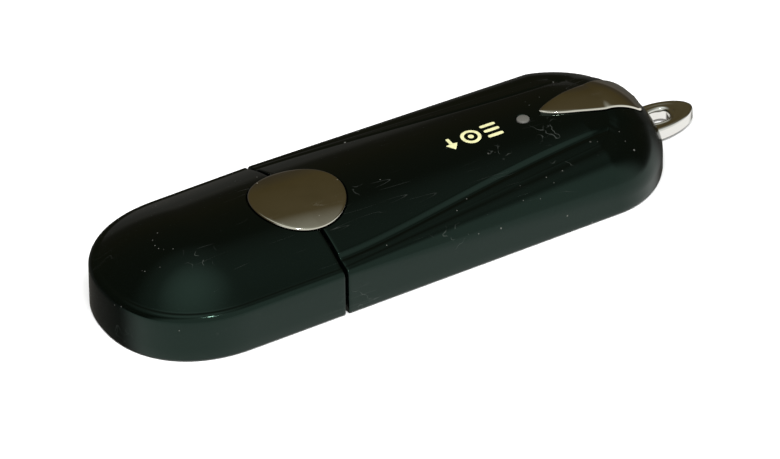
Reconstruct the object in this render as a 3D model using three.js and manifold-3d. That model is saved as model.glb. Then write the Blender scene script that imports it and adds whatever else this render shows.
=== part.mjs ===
// A capped USB flash drive with a domed body, a raised spine, polished metal trims and a lanyard eyelet.
// Millimetres, +Z up, +X towards the tail. Shapes are worked out with x = 0 at the middle of the body,
// and the whole group is then moved so that the origin is under the middle of the drive with its eyelet.
import * as THREE from 'three';
import { ParametricGeometry } from 'three/addons/geometries/ParametricGeometry.js';
import { mergeVertices } from 'three/addons/utils/BufferGeometryUtils.js';
import Module from 'manifold-3d';

const wasm = await Module();
wasm.setup();

// ---- Body envelope ----
const BODY_LENGTH = 61.8;
const HALF_WIDTH = 10;
const NOSE_REACH = 11.2;          // length of the rounded cap end
const NOSE_POWER = 2.18;          // 2 is an ellipse, more is squarer
const TAIL_REACH = 9.0;           // length of the rounded tail end
const TAIL_POWER = 2.0;
const CROWN_NOSE = 8.6;           // height along the centre line at the cap end
const CROWN_TAIL = 7.0;
const EDGE_SEAM = 5.4;            // height of the side edge from the cap to the seam
const EDGE_TAIL = 6.2;            // side edge height where the tail starts to round
const EDGE_END = 7.0;             // edge height at the tail's end, before its rounding
const ROUND_SEAM = 0.8;           // radius of the top edge from the cap to the seam
const ROUND_TAIL = 4.7;           // radius of the top edge at the tail's end
const TAIL_LEAN = 1.8;            // how far the tail's end leans in over its rounding
const FOOT_CHAMFER = 0.3;

// ---- Seam, cap and fit ----
const SEAM_X = -9.15;
const SEAM_GAP = 0.4;
const WALL = 1.2;
const CAP_FLOOR = 1.0;
const NECK_LENGTH = 1.6;          // collar on the body that enters the cap's mouth
const NECK_GAP = 0.4;
const FIT_GAP = 0.3;

// ---- Spine and shoulders ----
const SHOULDER_DROP = 0.6;        // how far the shoulders' own crown lies below the spine's
const SPINE_EDGE = [[-9.2, 8.5], [-5, 7.8], [0, 7.3], [5, 6.5], [10, 5.95], [15, 5.3], [20, 4.8],
  [25, 4.6], [31.5, 4.3]];        // centre-line place and half width

// ---- Trims ----
const BADGE_X = -9.0;
const BADGE_RADIUS = 4.85;
const TRIM_PROUD = 0.1;
const TRIM_DEPTH = 0.4;           // how deep a trim's underside lies below the crown
const TRIM_BED = 0.6;             // how deep its recess is
const TRIM_GAP = 0.2;             // clearance round a trim
const PETAL_EDGE = [[18.5, 0], [18.9, 0.65], [19.7, 1.05], [21, 1.5], [23, 1.9], [25.5, 2.25],
  [28, 2.5], [29, 2.3], [29.4, 1.75]];

// ---- Lanyard eyelet ----
const LOOP_TIP = 36.0;
const LOOP_HALF_WIDTH = 2.2;
const LOOP_LOW = 0.25;
const LOOP_HIGH = 1.7;
const LOOP_BAR_X = 27.0;          // cross bar that holds the eyelet in the tail
const LOOP_BAR_HALF_WIDTH = 3.6;

// ---- USB-A plug ----
const PLUG_WIDTH = 12.0;
const PLUG_HEIGHT = 4.5;
const PLUG_LOW = 1.3;
const PLUG_REACH = 14.0;          // from the seam to the plug's mouth
const PLUG_LENGTH = 18.8;
const SHEET = 0.3;                // steel sheet of the plug's shell
const WINDOW = { x: 6.2, y: 3.0, length: 2.2, width: 2.5 };
const TONGUE_HEIGHT = 1.85;
const CONTACTS = [{ y: -3.5, length: 7.4 }, { y: -1.0, length: 6.4 }, { y: 1.0, length: 6.4 },
  { y: 3.5, length: 7.4 }];
const CONTACT_WIDTH = 1.0;
const CONTACT_SHEET = 0.25;
const FOOT_LENGTH = 1.3;          // where a contact is soldered to the board
const EAR_LENGTH = 3.2;           // the shell's ears hold the board by its edges

// ---- Circuit board ----
const BOARD_HALF_WIDTH = 6.9;
const BOARD_LOW = 3.0;
const BOARD_SHEET = 0.8;
const BOARD_END = 24.0;
const SOLDER = 0.05;              // solder under a component
const LIGHT_X = 16.65;
const LIGHT_RADIUS = 0.65;
const BASE_SHEET = 1.15;

const FINISH = {
  gloss: { color: 0x0b0d0c, roughness: 0.18, metalness: 0 },
  matte: { color: 0x101211, roughness: 0.55, metalness: 0 },
  chrome: { color: 0x8d8a80, roughness: 0.08, metalness: 1 },
  steel: { color: 0xb9bcbd, roughness: 0.3, metalness: 1 },
  gold: { color: 0xc79a3c, roughness: 0.25, metalness: 1 },
  clear: { color: 0xc9ced1, roughness: 0.1, metalness: 0 },
  ivory: { color: 0xe6e4dc, roughness: 0.5, metalness: 0 },
  board: { color: 0x1d5a36, roughness: 0.45, metalness: 0 },
  resin: { color: 0x17181a, roughness: 0.6, metalness: 0 },
  ceramic: { color: 0xa98a66, roughness: 0.6, metalness: 0 },
};

// ---- Solids ----

/** A closed solid from any closed geometry. */
function solidOf(geometry) {
  const bare = geometry.index ? geometry.toNonIndexed() : geometry.clone();
  for (const name of Object.keys(bare.attributes)) {
    if (name !== 'position') bare.deleteAttribute(name);
  }
  const merged = mergeVertices(bare, 1e-4);
  const index = merged.index.array;
  const corners = [];
  for (let i = 0; i < index.length; i += 3) {
    const [a, b, c] = [index[i], index[i + 1], index[i + 2]];
    if (a !== b && b !== c && c !== a) corners.push(a, b, c);
  }
  return new wasm.Manifold(new wasm.Mesh({
    numProp: 3,
    vertProperties: new Float32Array(merged.attributes.position.array),
    triVerts: new Uint32Array(corners),
  }));
}

/** A box between two corners. */
function box(x0, y0, z0, x1, y1, z1) {
  const geometry = new THREE.BoxGeometry(x1 - x0, y1 - y0, z1 - z0);
  geometry.translate((x0 + x1) / 2, (y0 + y1) / 2, (z0 + z1) / 2);
  return solidOf(geometry);
}

/** An upright prism over a plan outline. */
function prism(shape, z0, z1, curveSegments = 10) {
  const geometry = new THREE.ExtrudeGeometry(shape, { depth: z1 - z0, bevelEnabled: false, curveSegments });
  geometry.translate(0, 0, z0);
  return solidOf(geometry);
}

/** An upright cylinder. */
function post(x, y, radius, z0, z1, segments = 24) {
  const geometry = new THREE.CylinderGeometry(radius, radius, z1 - z0, segments);
  geometry.rotateX(Math.PI / 2);
  geometry.translate(x, y, (z0 + z1) / 2);
  return solidOf(geometry);
}

/** A plan outline that mirrors a list of half widths about the centre line. */
function mirroredOutline(edge, spread = 0) {
  const side = edge.map(([x, y]) => new THREE.Vector2(x, y + spread));
  const curve = new THREE.SplineCurve(side).getPoints(edge.length * 4);
  const back = curve.map((p) => new THREE.Vector2(p.x, -p.y)).reverse();
  const closed = edge[0][1] + spread < 1e-6 ? back.slice(0, -1) : back;
  return new THREE.Shape([...curve, ...closed]);
}

// ---- Domed envelope ----

const clamp01 = (t) => Math.min(Math.max(t, 0), 1);
const bodyFront = -BODY_LENGTH / 2;
const bodyBack = BODY_LENGTH / 2;
const noseX = bodyFront + NOSE_REACH;
const tailX = bodyBack - TAIL_REACH;

/** One quarter of a superellipse, from its end point (angle 0) to its side (angle 90 degrees). */
function roundedEnd(angle, reach, halfWidth, power) {
  return [reach * Math.cos(angle) ** (2 / power), halfWidth * Math.sin(angle) ** (2 / power)];
}

/** Half of the plan outline (y >= 0), from the nose to the tail, each point with its centre-line foot. */
function halfOutline(grow, steps = 10) {
  const points = [];
  for (let i = 0; i <= steps; i++) {
    const [x, y] = roundedEnd((i / steps) * (Math.PI / 2), NOSE_REACH + grow, HALF_WIDTH + grow, NOSE_POWER);
    points.push({ x: noseX - x, y: i === 0 ? 0 : y, foot: noseX });
  }
  const runs = 8;
  for (let i = 1; i < runs; i++) {
    const x = noseX + (tailX - noseX) * (i / runs);
    points.push({ x, y: HALF_WIDTH + grow, foot: x });
  }
  for (let i = steps; i >= 0; i--) {
    const [x, y] = roundedEnd((i / steps) * (Math.PI / 2), TAIL_REACH + grow, HALF_WIDTH + grow, TAIL_POWER);
    points.push({ x: tailX + x, y: i === 0 ? 0 : y, foot: tailX });
  }
  return points;
}

const tailRun = (x) => clamp01((x - SEAM_X) / (bodyBack - SEAM_X));
const endRun = (x) => clamp01((x - tailX) / TAIL_REACH);
const crownHeight = (x) => CROWN_NOSE + (CROWN_TAIL - CROWN_NOSE) * clamp01((x - bodyFront) / BODY_LENGTH);
const edgeHeight = (x) => EDGE_SEAM + (EDGE_TAIL - EDGE_SEAM) * tailRun(x)
  + (EDGE_END - EDGE_TAIL) * endRun(x) ** 2;
const edgeRound = (x) => ROUND_SEAM + (ROUND_TAIL - ROUND_SEAM) * tailRun(x);

/**
 * The whole domed envelope as one closed solid.
 * grow moves the skin out (or in, when negative), drop lowers the crown, low is the flat underside's height.
 */
function envelope({ grow = 0, drop = 0, low = 0, chamfer = FOOT_CHAMFER } = {}) {
  const half = halfOutline(grow);
  const loop = [...half, ...half.slice(1, -1).reverse().map((p) => ({ ...p, y: -p.y }))];
  const rounding = 4;
  const doming = 5;
  const rings = [];
  const inset = (p, depth) => {
    const keep = 1 - depth / (HALF_WIDTH + grow);
    return { x: p.foot + (p.x - p.foot) * keep, y: p.y * keep };
  };
  rings.push((p) => ({ ...inset(p, HALF_WIDTH + grow), z: low }));
  rings.push((p) => ({ ...inset(p, chamfer), z: low }));
  rings.push((p) => ({ ...inset(p, 0), z: low + chamfer }));
  const radius = (p) => Math.max(edgeRound(p.x) + grow, 0.15);
  for (let i = 0; i <= rounding; i++) {
    const angle = (i / rounding) * (Math.PI / 2);
    rings.push((p) => {
      const depth = radius(p) * (1 - Math.cos(angle)) + TAIL_LEAN * endRun(p.x) * Math.sin(angle);
      return { ...inset(p, depth), z: edgeHeight(p.x) + grow - radius(p) * (1 - Math.sin(angle)) };
    });
  }
  for (let i = 1; i <= doming; i++) {
    const share = i / doming;
    rings.push((p) => {
      const start = radius(p) + TAIL_LEAN * endRun(p.x);
      const at = inset(p, start + (HALF_WIDTH + grow - start) * share);
      const rise = crownHeight(at.x) - drop - edgeHeight(p.x);
      return { ...at, z: edgeHeight(p.x) + grow + rise * (1 - (1 - share) ** 2) };
    });
  }
  const place = (u, v, target) => {
    const p = loop[Math.round((1 - u) * loop.length) % loop.length];
    const at = rings[Math.round(v * (rings.length - 1))](p);
    target.set(at.x, at.y, at.z);
  };
  return solidOf(new ParametricGeometry(place, loop.length, rings.length - 1));
}

// ---- Assembly helpers ----

const group = new THREE.Group();

/** Adds a solid to the drive as a named piece. */
function addPiece(name, solid, finish) {
  const mesh = solid.getMesh();
  const geometry = new THREE.BufferGeometry();
  geometry.setAttribute('position', new THREE.BufferAttribute(new Float32Array(mesh.vertProperties), 3));
  geometry.setIndex(new THREE.BufferAttribute(new Uint32Array(mesh.triVerts), 1));
  geometry.computeVertexNormals();
  const piece = new THREE.Mesh(geometry, new THREE.MeshStandardMaterial(finish));
  piece.name = name;
  group.add(piece);
}

const farX = bodyBack + 20;
const inFrontOf = (x) => box(-farX, -20, -5, x, 20, 20);
const behind = (x) => box(x, -20, -5, farX, 20, 20);

const capBack = SEAM_X - SEAM_GAP / 2;
const bodyStart = SEAM_X + SEAM_GAP / 2;
const plugTip = SEAM_X - PLUG_REACH;
const plugBack = plugTip + PLUG_LENGTH;
const plugHigh = PLUG_LOW + PLUG_HEIGHT;

const skin = envelope();
const trimTop = envelope({ grow: TRIM_PROUD });
const trimUnder = envelope({ grow: -TRIM_DEPTH, low: -1 });
const trimBed = envelope({ grow: -TRIM_BED, low: -1 });
const hollow = (low) => envelope({ grow: -WALL, drop: SHOULDER_DROP, low, chamfer: 0.05 });

// ---- Cap ----

function capShell() {
  const clearance = FIT_GAP;
  const cavity = hollow(CAP_FLOOR).intersect(inFrontOf(capBack + 1));
  const mouth = capBack - NECK_LENGTH - 0.6;
  const ribLow = CAP_FLOOR - 0.1;
  const ribTop = 9;
  const ribHalf = 0.5;
  let ribs = null;
  const addRib = (rib) => { ribs = ribs ? ribs.add(rib) : rib; };
  for (const side of [-1, 1]) {
    const inner = PLUG_WIDTH / 2 + clearance;
    addRib(box(plugTip - 1, Math.min(side * inner, side * 11), ribLow, plugTip + 0.4,
      Math.max(side * inner, side * 11), ribTop));
    addRib(box(mouth - 4, Math.min(side * inner, side * 11), ribLow, mouth - 3,
      Math.max(side * inner, side * 11), ribTop));
    addRib(box(plugTip + 1, side * 3.6 - ribHalf, plugHigh + clearance, mouth, side * 3.6 + ribHalf, ribTop));
  }
  const channel = box(plugTip - 1, -PLUG_WIDTH / 2 - clearance, CAP_FLOOR, capBack + 1,
    PLUG_WIDTH / 2 + clearance, plugHigh + clearance);
  const space = cavity.subtract(ribs).add(channel);
  const bed = post(BADGE_X, 0, BADGE_RADIUS + TRIM_GAP, 0, 12, 48).subtract(trimBed);
  return skin.intersect(inFrontOf(capBack)).subtract(space).subtract(bed);
}

function trim(plan) {
  return plan.intersect(trimTop).subtract(trimUnder);
}

// ---- Body shells ----

function loopPlan(spread) {
  const shape = new THREE.Shape();
  const w = LOOP_HALF_WIDTH + spread;
  const barBack = LOOP_BAR_X + 1.4 + spread;
  const bar = LOOP_BAR_HALF_WIDTH + spread;
  shape.moveTo(LOOP_BAR_X - spread, -bar);
  shape.lineTo(barBack, -bar);
  shape.lineTo(barBack, -w);
  shape.lineTo(bodyBack + 0.8, -w);
  shape.bezierCurveTo(LOOP_TIP - 2.2, -w * 0.92, LOOP_TIP + spread, -w * 0.55, LOOP_TIP + spread, 0);
  shape.bezierCurveTo(LOOP_TIP + spread, w * 0.55, LOOP_TIP - 2.2, w * 0.92, bodyBack + 0.8, w);
  shape.lineTo(barBack, w);
  shape.lineTo(barBack, bar);
  shape.lineTo(LOOP_BAR_X - spread, bar);
  shape.closePath();
  return shape;
}

function topCover() {
  const spinePlan = prism(mirroredOutline(SPINE_EDGE), 1.5, 12);
  const shoulders = envelope({ drop: SHOULDER_DROP });
  const outer = shoulders.add(skin.intersect(spinePlan)).intersect(behind(bodyStart));
  const front = bodyStart + 1.4;
  const room = hollow(-1).intersect(box(front, -20, -2, LOOP_BAR_X - 1.2, 20, 20));
  const plugSlot = box(bodyStart - 5, -PLUG_WIDTH / 2 - FIT_GAP, -2, plugTip + PLUG_LENGTH + FIT_GAP,
    PLUG_WIDTH / 2 + FIT_GAP, plugHigh + FIT_GAP);
  const plateSeat = plateOutline(FIT_GAP)
    .intersect(box(bodyStart - 1, -20, -2, farX, 20, BASE_SHEET + FIT_GAP))
    .subtract(loopBlock(FIT_GAP));
  const neck = envelope({ grow: -WALL - NECK_GAP, drop: SHOULDER_DROP, low: 1.7, chamfer: 0.05 })
    .intersect(box(bodyStart - NECK_LENGTH, -20, 0, bodyStart + 1, 20, 20));
  const pocket = prism(loopPlan(FIT_GAP), -2, LOOP_HIGH + FIT_GAP);
  const lightHole = post(LIGHT_X, 0, LIGHT_RADIUS + TRIM_GAP, 2, 12, 24);
  const badgeBed = post(BADGE_X, 0, BADGE_RADIUS + TRIM_GAP, 0, 12, 48).subtract(trimBed);
  const petalBed = prism(petalPlan(TRIM_GAP), 0, 12).subtract(trimBed);
  return outer.subtract(room).add(neck)
    .subtract(plugSlot).subtract(plateSeat).subtract(pocket)
    .subtract(lightHole).subtract(badgeBed).subtract(petalBed);
}

function petalPlan(spread) {
  const edge = PETAL_EDGE.map(([x, y], i) => {
    const ahead = i === 0 ? -spread : i > 6 ? spread : 0;
    return [x + ahead, y === 0 ? 0 : y + spread];
  });
  return mirroredOutline(edge);
}

function plateOutline(spread) {
  const inset = WALL + FIT_GAP - spread;
  return envelope({ grow: -inset, low: -1.5, chamfer: 0.05 });
}

/** The part of the tail that holds the eyelet, which the base plate leaves out. */
function loopBlock(spread) {
  const half = LOOP_BAR_HALF_WIDTH + spread;
  return box(LOOP_BAR_X - spread, -half, -3, farX, half, 5);
}

function basePlate() {
  let solid = plateOutline(0)
    .intersect(box(bodyStart, -20, 0, farX, 20, BASE_SHEET))
    .subtract(loopBlock(2 * FIT_GAP));
  const ribHigh = BOARD_LOW - SOLDER;
  for (const x of [8.5, BOARD_END - 1.5]) {
    solid = solid.add(box(x, -BOARD_HALF_WIDTH + 0.6, 0.5, x + 0.9, BOARD_HALF_WIDTH - 0.6, ribHigh));
  }
  return solid;
}

// ---- Lanyard eyelet ----

function lanyardLoop() {
  const shape = loopPlan(0);
  const hole = new THREE.Path();
  const near = bodyBack + 0.5;
  const holeHalf = 0.95;
  hole.moveTo(near, -holeHalf);
  hole.lineTo(near + 1.5, -holeHalf * 0.9);
  hole.absarc(near + 1.5, 0, holeHalf * 0.9, -Math.PI / 2, Math.PI / 2, false);
  hole.lineTo(near, holeHalf);
  hole.closePath();
  shape.holes.push(hole);
  return prism(shape, LOOP_LOW, LOOP_HIGH, 8);
}

// ---- Plug ----

/** A rounded rectangle seen along X, extruded from x0 to x1. */
function roundedBar(x0, x1, halfWidth, z0, z1, radius) {
  const shape = new THREE.Shape();
  shape.moveTo(-halfWidth + radius, z0);
  shape.lineTo(halfWidth - radius, z0);
  shape.absarc(halfWidth - radius, z0 + radius, radius, -Math.PI / 2, 0, false);
  shape.lineTo(halfWidth, z1 - radius);
  shape.absarc(halfWidth - radius, z1 - radius, radius, 0, Math.PI / 2, false);
  shape.lineTo(-halfWidth + radius, z1);
  shape.absarc(-halfWidth + radius, z1 - radius, radius, Math.PI / 2, Math.PI, false);
  shape.lineTo(-halfWidth, z0 + radius);
  shape.absarc(-halfWidth + radius, z0 + radius, radius, Math.PI, Math.PI * 1.5, false);
  const geometry = new THREE.ExtrudeGeometry(shape, { depth: x1 - x0, bevelEnabled: false, curveSegments: 4 });
  geometry.rotateX(Math.PI / 2);
  geometry.rotateZ(Math.PI / 2);
  geometry.translate(x0, 0, 0);
  return solidOf(geometry);
}

function plugShell() {
  const half = PLUG_WIDTH / 2;
  let shell = roundedBar(plugTip, plugBack, half, PLUG_LOW, plugHigh, 0.5)
    .subtract(roundedBar(plugTip - 1, plugBack + 1, half - SHEET, PLUG_LOW + SHEET, plugHigh - SHEET, 0.25));
  const x = plugTip + WINDOW.x;
  for (const side of [-1, 1]) {
    const y = side * WINDOW.y;
    const ear = side * (half - SHEET / 2);
    shell = shell
      .subtract(box(x, y - WINDOW.width / 2, -1, x + WINDOW.length, y + WINDOW.width / 2, 9))
      .add(box(plugBack - 0.5, ear - SHEET / 2, BOARD_LOW - 0.5, plugBack + EAR_LENGTH, ear + SHEET / 2,
        boardHigh + 0.5));
  }
  return shell;
}

const tongueLow = PLUG_LOW + SHEET + 0.1;
const tongueHigh = tongueLow + TONGUE_HEIGHT;
const tongueHalf = PLUG_WIDTH / 2 - SHEET - 0.15;
const tongueTip = plugTip + 0.6;
const tongueBack = plugBack - 0.4;
const blockStart = tongueBack - 6.6;
const boardHigh = BOARD_LOW + BOARD_SHEET;
const riserX = tongueBack + 0.65;
const boardStart = riserX + CONTACT_SHEET + 0.2;

function plugInsulator() {
  let solid = box(tongueTip, -tongueHalf, tongueLow, tongueBack, tongueHalf, tongueHigh)
    .add(box(blockStart, -tongueHalf, tongueLow, tongueBack, tongueHalf, plugHigh - SHEET - 0.15));
  for (const { y, length } of CONTACTS) {
    const start = blockStart - length - 0.2;
    const half = CONTACT_WIDTH / 2 + 0.05;
    solid = solid.subtract(box(start, y - half, tongueHigh - CONTACT_SHEET - 0.02, tongueBack + 1, y + half,
      tongueHigh + 0.15));
  }
  return solid;
}

/** A contact: its strip lies in the tongue, then it steps up and ends in a foot on the board. */
function contact({ y, length }) {
  const start = blockStart - length;
  const low = tongueHigh - CONTACT_SHEET;
  const footLow = boardHigh + SOLDER;
  const half = CONTACT_WIDTH / 2;
  return box(start, y - half, low, riserX + CONTACT_SHEET, y + half, low + CONTACT_SHEET)
    .add(box(riserX, y - half, low, riserX + CONTACT_SHEET, y + half, footLow + CONTACT_SHEET))
    .add(box(riserX, y - half, footLow, riserX + FOOT_LENGTH, y + half, footLow + CONTACT_SHEET));
}

// ---- Board and components ----


function circuitBoard() {
  const plan = new THREE.Shape();
  const h = BOARD_HALF_WIDTH;
  const throat = PLUG_WIDTH / 2 - SHEET - 0.15;
  const step = plugBack + EAR_LENGTH + 0.3;
  plan.moveTo(boardStart, -throat);
  plan.lineTo(step, -throat);
  plan.lineTo(step, -h);
  plan.lineTo(BOARD_END - 2, -h);
  plan.lineTo(BOARD_END, -h + 2);
  plan.lineTo(BOARD_END, h - 2);
  plan.lineTo(BOARD_END - 2, h);
  plan.lineTo(step, h);
  plan.lineTo(step, throat);
  plan.lineTo(boardStart, throat);
  plan.closePath();
  return prism(plan, BOARD_LOW, boardHigh);
}

/** A chip package with leads along two sides (or all four), resting on z and rising by dir. */
function chip({ x, y, length, width, height, surface, dir, pitch, perSide, sides }) {
  const stand = 0.1;
  const z = (a, b) => (dir > 0 ? [surface + a, surface + b] : [surface - b, surface - a]);
  const [low, high] = z(SOLDER + stand, height);
  let solid = box(x - length / 2, y - width / 2, low, x + length / 2, y + width / 2, high);
  const [legLow, legHigh] = z(SOLDER, SOLDER + 0.5);
  const reach = 0.8;
  const thick = pitch * 0.4;
  for (let i = 0; i < perSide; i++) {
    const offset = (i - (perSide - 1) / 2) * pitch;
    for (const side of [-1, 1]) {
      const edge = side * (length / 2);
      solid = solid.add(box(x + Math.min(edge - side * 0.1, edge + side * reach), y + offset - thick / 2, legLow,
        x + Math.max(edge - side * 0.1, edge + side * reach), y + offset + thick / 2, legHigh));
      if (sides === 4) {
        const rim = side * (width / 2);
        solid = solid.add(box(x + offset - thick / 2, y + Math.min(rim - side * 0.1, rim + side * reach), legLow,
          x + offset + thick / 2, y + Math.max(rim - side * 0.1, rim + side * reach), legHigh));
      }
    }
  }
  return solid;
}

/** A small ceramic block with its end caps' thickness built in. */
function passive(x, y, surface, dir, length = 1.0, width = 0.5, height = 0.5) {
  const low = dir > 0 ? surface + SOLDER : surface - SOLDER - height;
  return box(x - length / 2, y - width / 2, low, x + length / 2, y + width / 2, low + height);
}

// ---- The drive ----

addPiece('cap_shell', capShell(), FINISH.gloss);
addPiece('cap_badge', trim(post(BADGE_X, 0, BADGE_RADIUS, 0, 12, 48)), FINISH.chrome);
addPiece('top_cover', topCover(), FINISH.gloss);
addPiece('base_plate', basePlate(), FINISH.matte);
addPiece('tail_inlay', trim(prism(petalPlan(0), 0, 12)), FINISH.chrome);
addPiece('lanyard_loop', lanyardLoop(), FINISH.chrome);
addPiece('light_pipe', post(LIGHT_X, 0, LIGHT_RADIUS, boardHigh + 0.9, 12, 24).intersect(skin), FINISH.clear);
addPiece('plug_shell', plugShell(), FINISH.steel);
addPiece('plug_insulator', plugInsulator(), FINISH.ivory);
CONTACTS.forEach((spec, i) => addPiece(`contact_${i + 1}`, contact(spec), FINISH.gold));
addPiece('circuit_board', circuitBoard(), FINISH.board);
addPiece('flash_chip', chip({ x: 7.15, y: 0, length: 16, width: 12, height: 1.1, surface: boardHigh, dir: 1,
  pitch: 0.95, perSide: 12, sides: 2 }), FINISH.resin);
addPiece('controller_chip', chip({ x: 3.2, y: 0, length: 7, width: 7, height: 1.3, surface: BOARD_LOW, dir: -1,
  pitch: 0.8, perSide: 8, sides: 4 }), FINISH.resin);
addPiece('crystal', box(18.4, -2.6, boardHigh + SOLDER, 23, 2.6, boardHigh + 1.2), FINISH.steel);
addPiece('status_led', box(LIGHT_X - 0.4, -0.8, boardHigh + SOLDER, LIGHT_X + 0.4, 0.8, boardHigh + 0.65),
  FINISH.ivory);
const capacitorPlaces = [[2.0, 5.8], [11.5, 4.2], [11.5, -4.2], [14.5, 0]];
capacitorPlaces.forEach(([x, y], i) => addPiece(`capacitor_${i + 1}`,
  passive(x, y, BOARD_LOW, -1, 1.6, 0.8, 0.8), FINISH.ceramic));
const resistorPlaces = [[18.0, 5.2], [20.5, 5.2], [18.0, -5.2], [20.5, -5.2]];
resistorPlaces.forEach(([x, y], i) => addPiece(`resistor_${i + 1}`,
  passive(x, y, boardHigh, 1, 1.6, 0.8, 0.45), FINISH.resin));

group.position.x = -(bodyFront + LOOP_TIP) / 2;

export default group;
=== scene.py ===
"""A capped USB flash drive: glossy black shells, polished trims, plug and board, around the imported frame.

All sizes are in metres. Plan places are given along the drive from the middle of its body, and
Envelope.shift carries them into the frame, whose origin is under the middle of the whole drive.
"""
import logging
import math
from dataclasses import dataclass, field
from enum import Enum
from typing import Callable, Iterable, Optional, Sequence

import bmesh
import bpy
import numpy as np
from mathutils import Matrix, Vector


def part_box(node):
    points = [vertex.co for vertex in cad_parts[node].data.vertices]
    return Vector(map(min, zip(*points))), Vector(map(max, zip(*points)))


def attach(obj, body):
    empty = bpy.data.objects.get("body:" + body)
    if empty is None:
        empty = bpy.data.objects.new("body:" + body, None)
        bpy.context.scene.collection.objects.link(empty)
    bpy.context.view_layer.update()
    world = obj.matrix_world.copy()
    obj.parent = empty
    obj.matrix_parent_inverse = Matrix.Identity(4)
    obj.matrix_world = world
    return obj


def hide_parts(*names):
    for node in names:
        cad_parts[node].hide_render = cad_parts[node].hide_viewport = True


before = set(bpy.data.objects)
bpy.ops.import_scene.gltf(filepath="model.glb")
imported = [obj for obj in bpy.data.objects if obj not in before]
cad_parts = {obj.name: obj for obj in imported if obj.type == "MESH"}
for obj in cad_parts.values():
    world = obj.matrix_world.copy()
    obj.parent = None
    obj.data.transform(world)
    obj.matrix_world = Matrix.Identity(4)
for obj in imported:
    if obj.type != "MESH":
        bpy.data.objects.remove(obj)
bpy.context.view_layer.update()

MM = 0.001
LOG = logging.getLogger("flash_drive")
Array = np.ndarray


def ramp01(t: Array) -> Array:
    """Returns t limited to 0..1."""
    return np.clip(t, 0.0, 1.0)


def smooth01(t: Array) -> Array:
    """Returns a smooth step of t from 0 to 1."""
    t = ramp01(t)
    return t * t * (3.0 - 2.0 * t)


# ---------------------------------------------------------------- bench work

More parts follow.
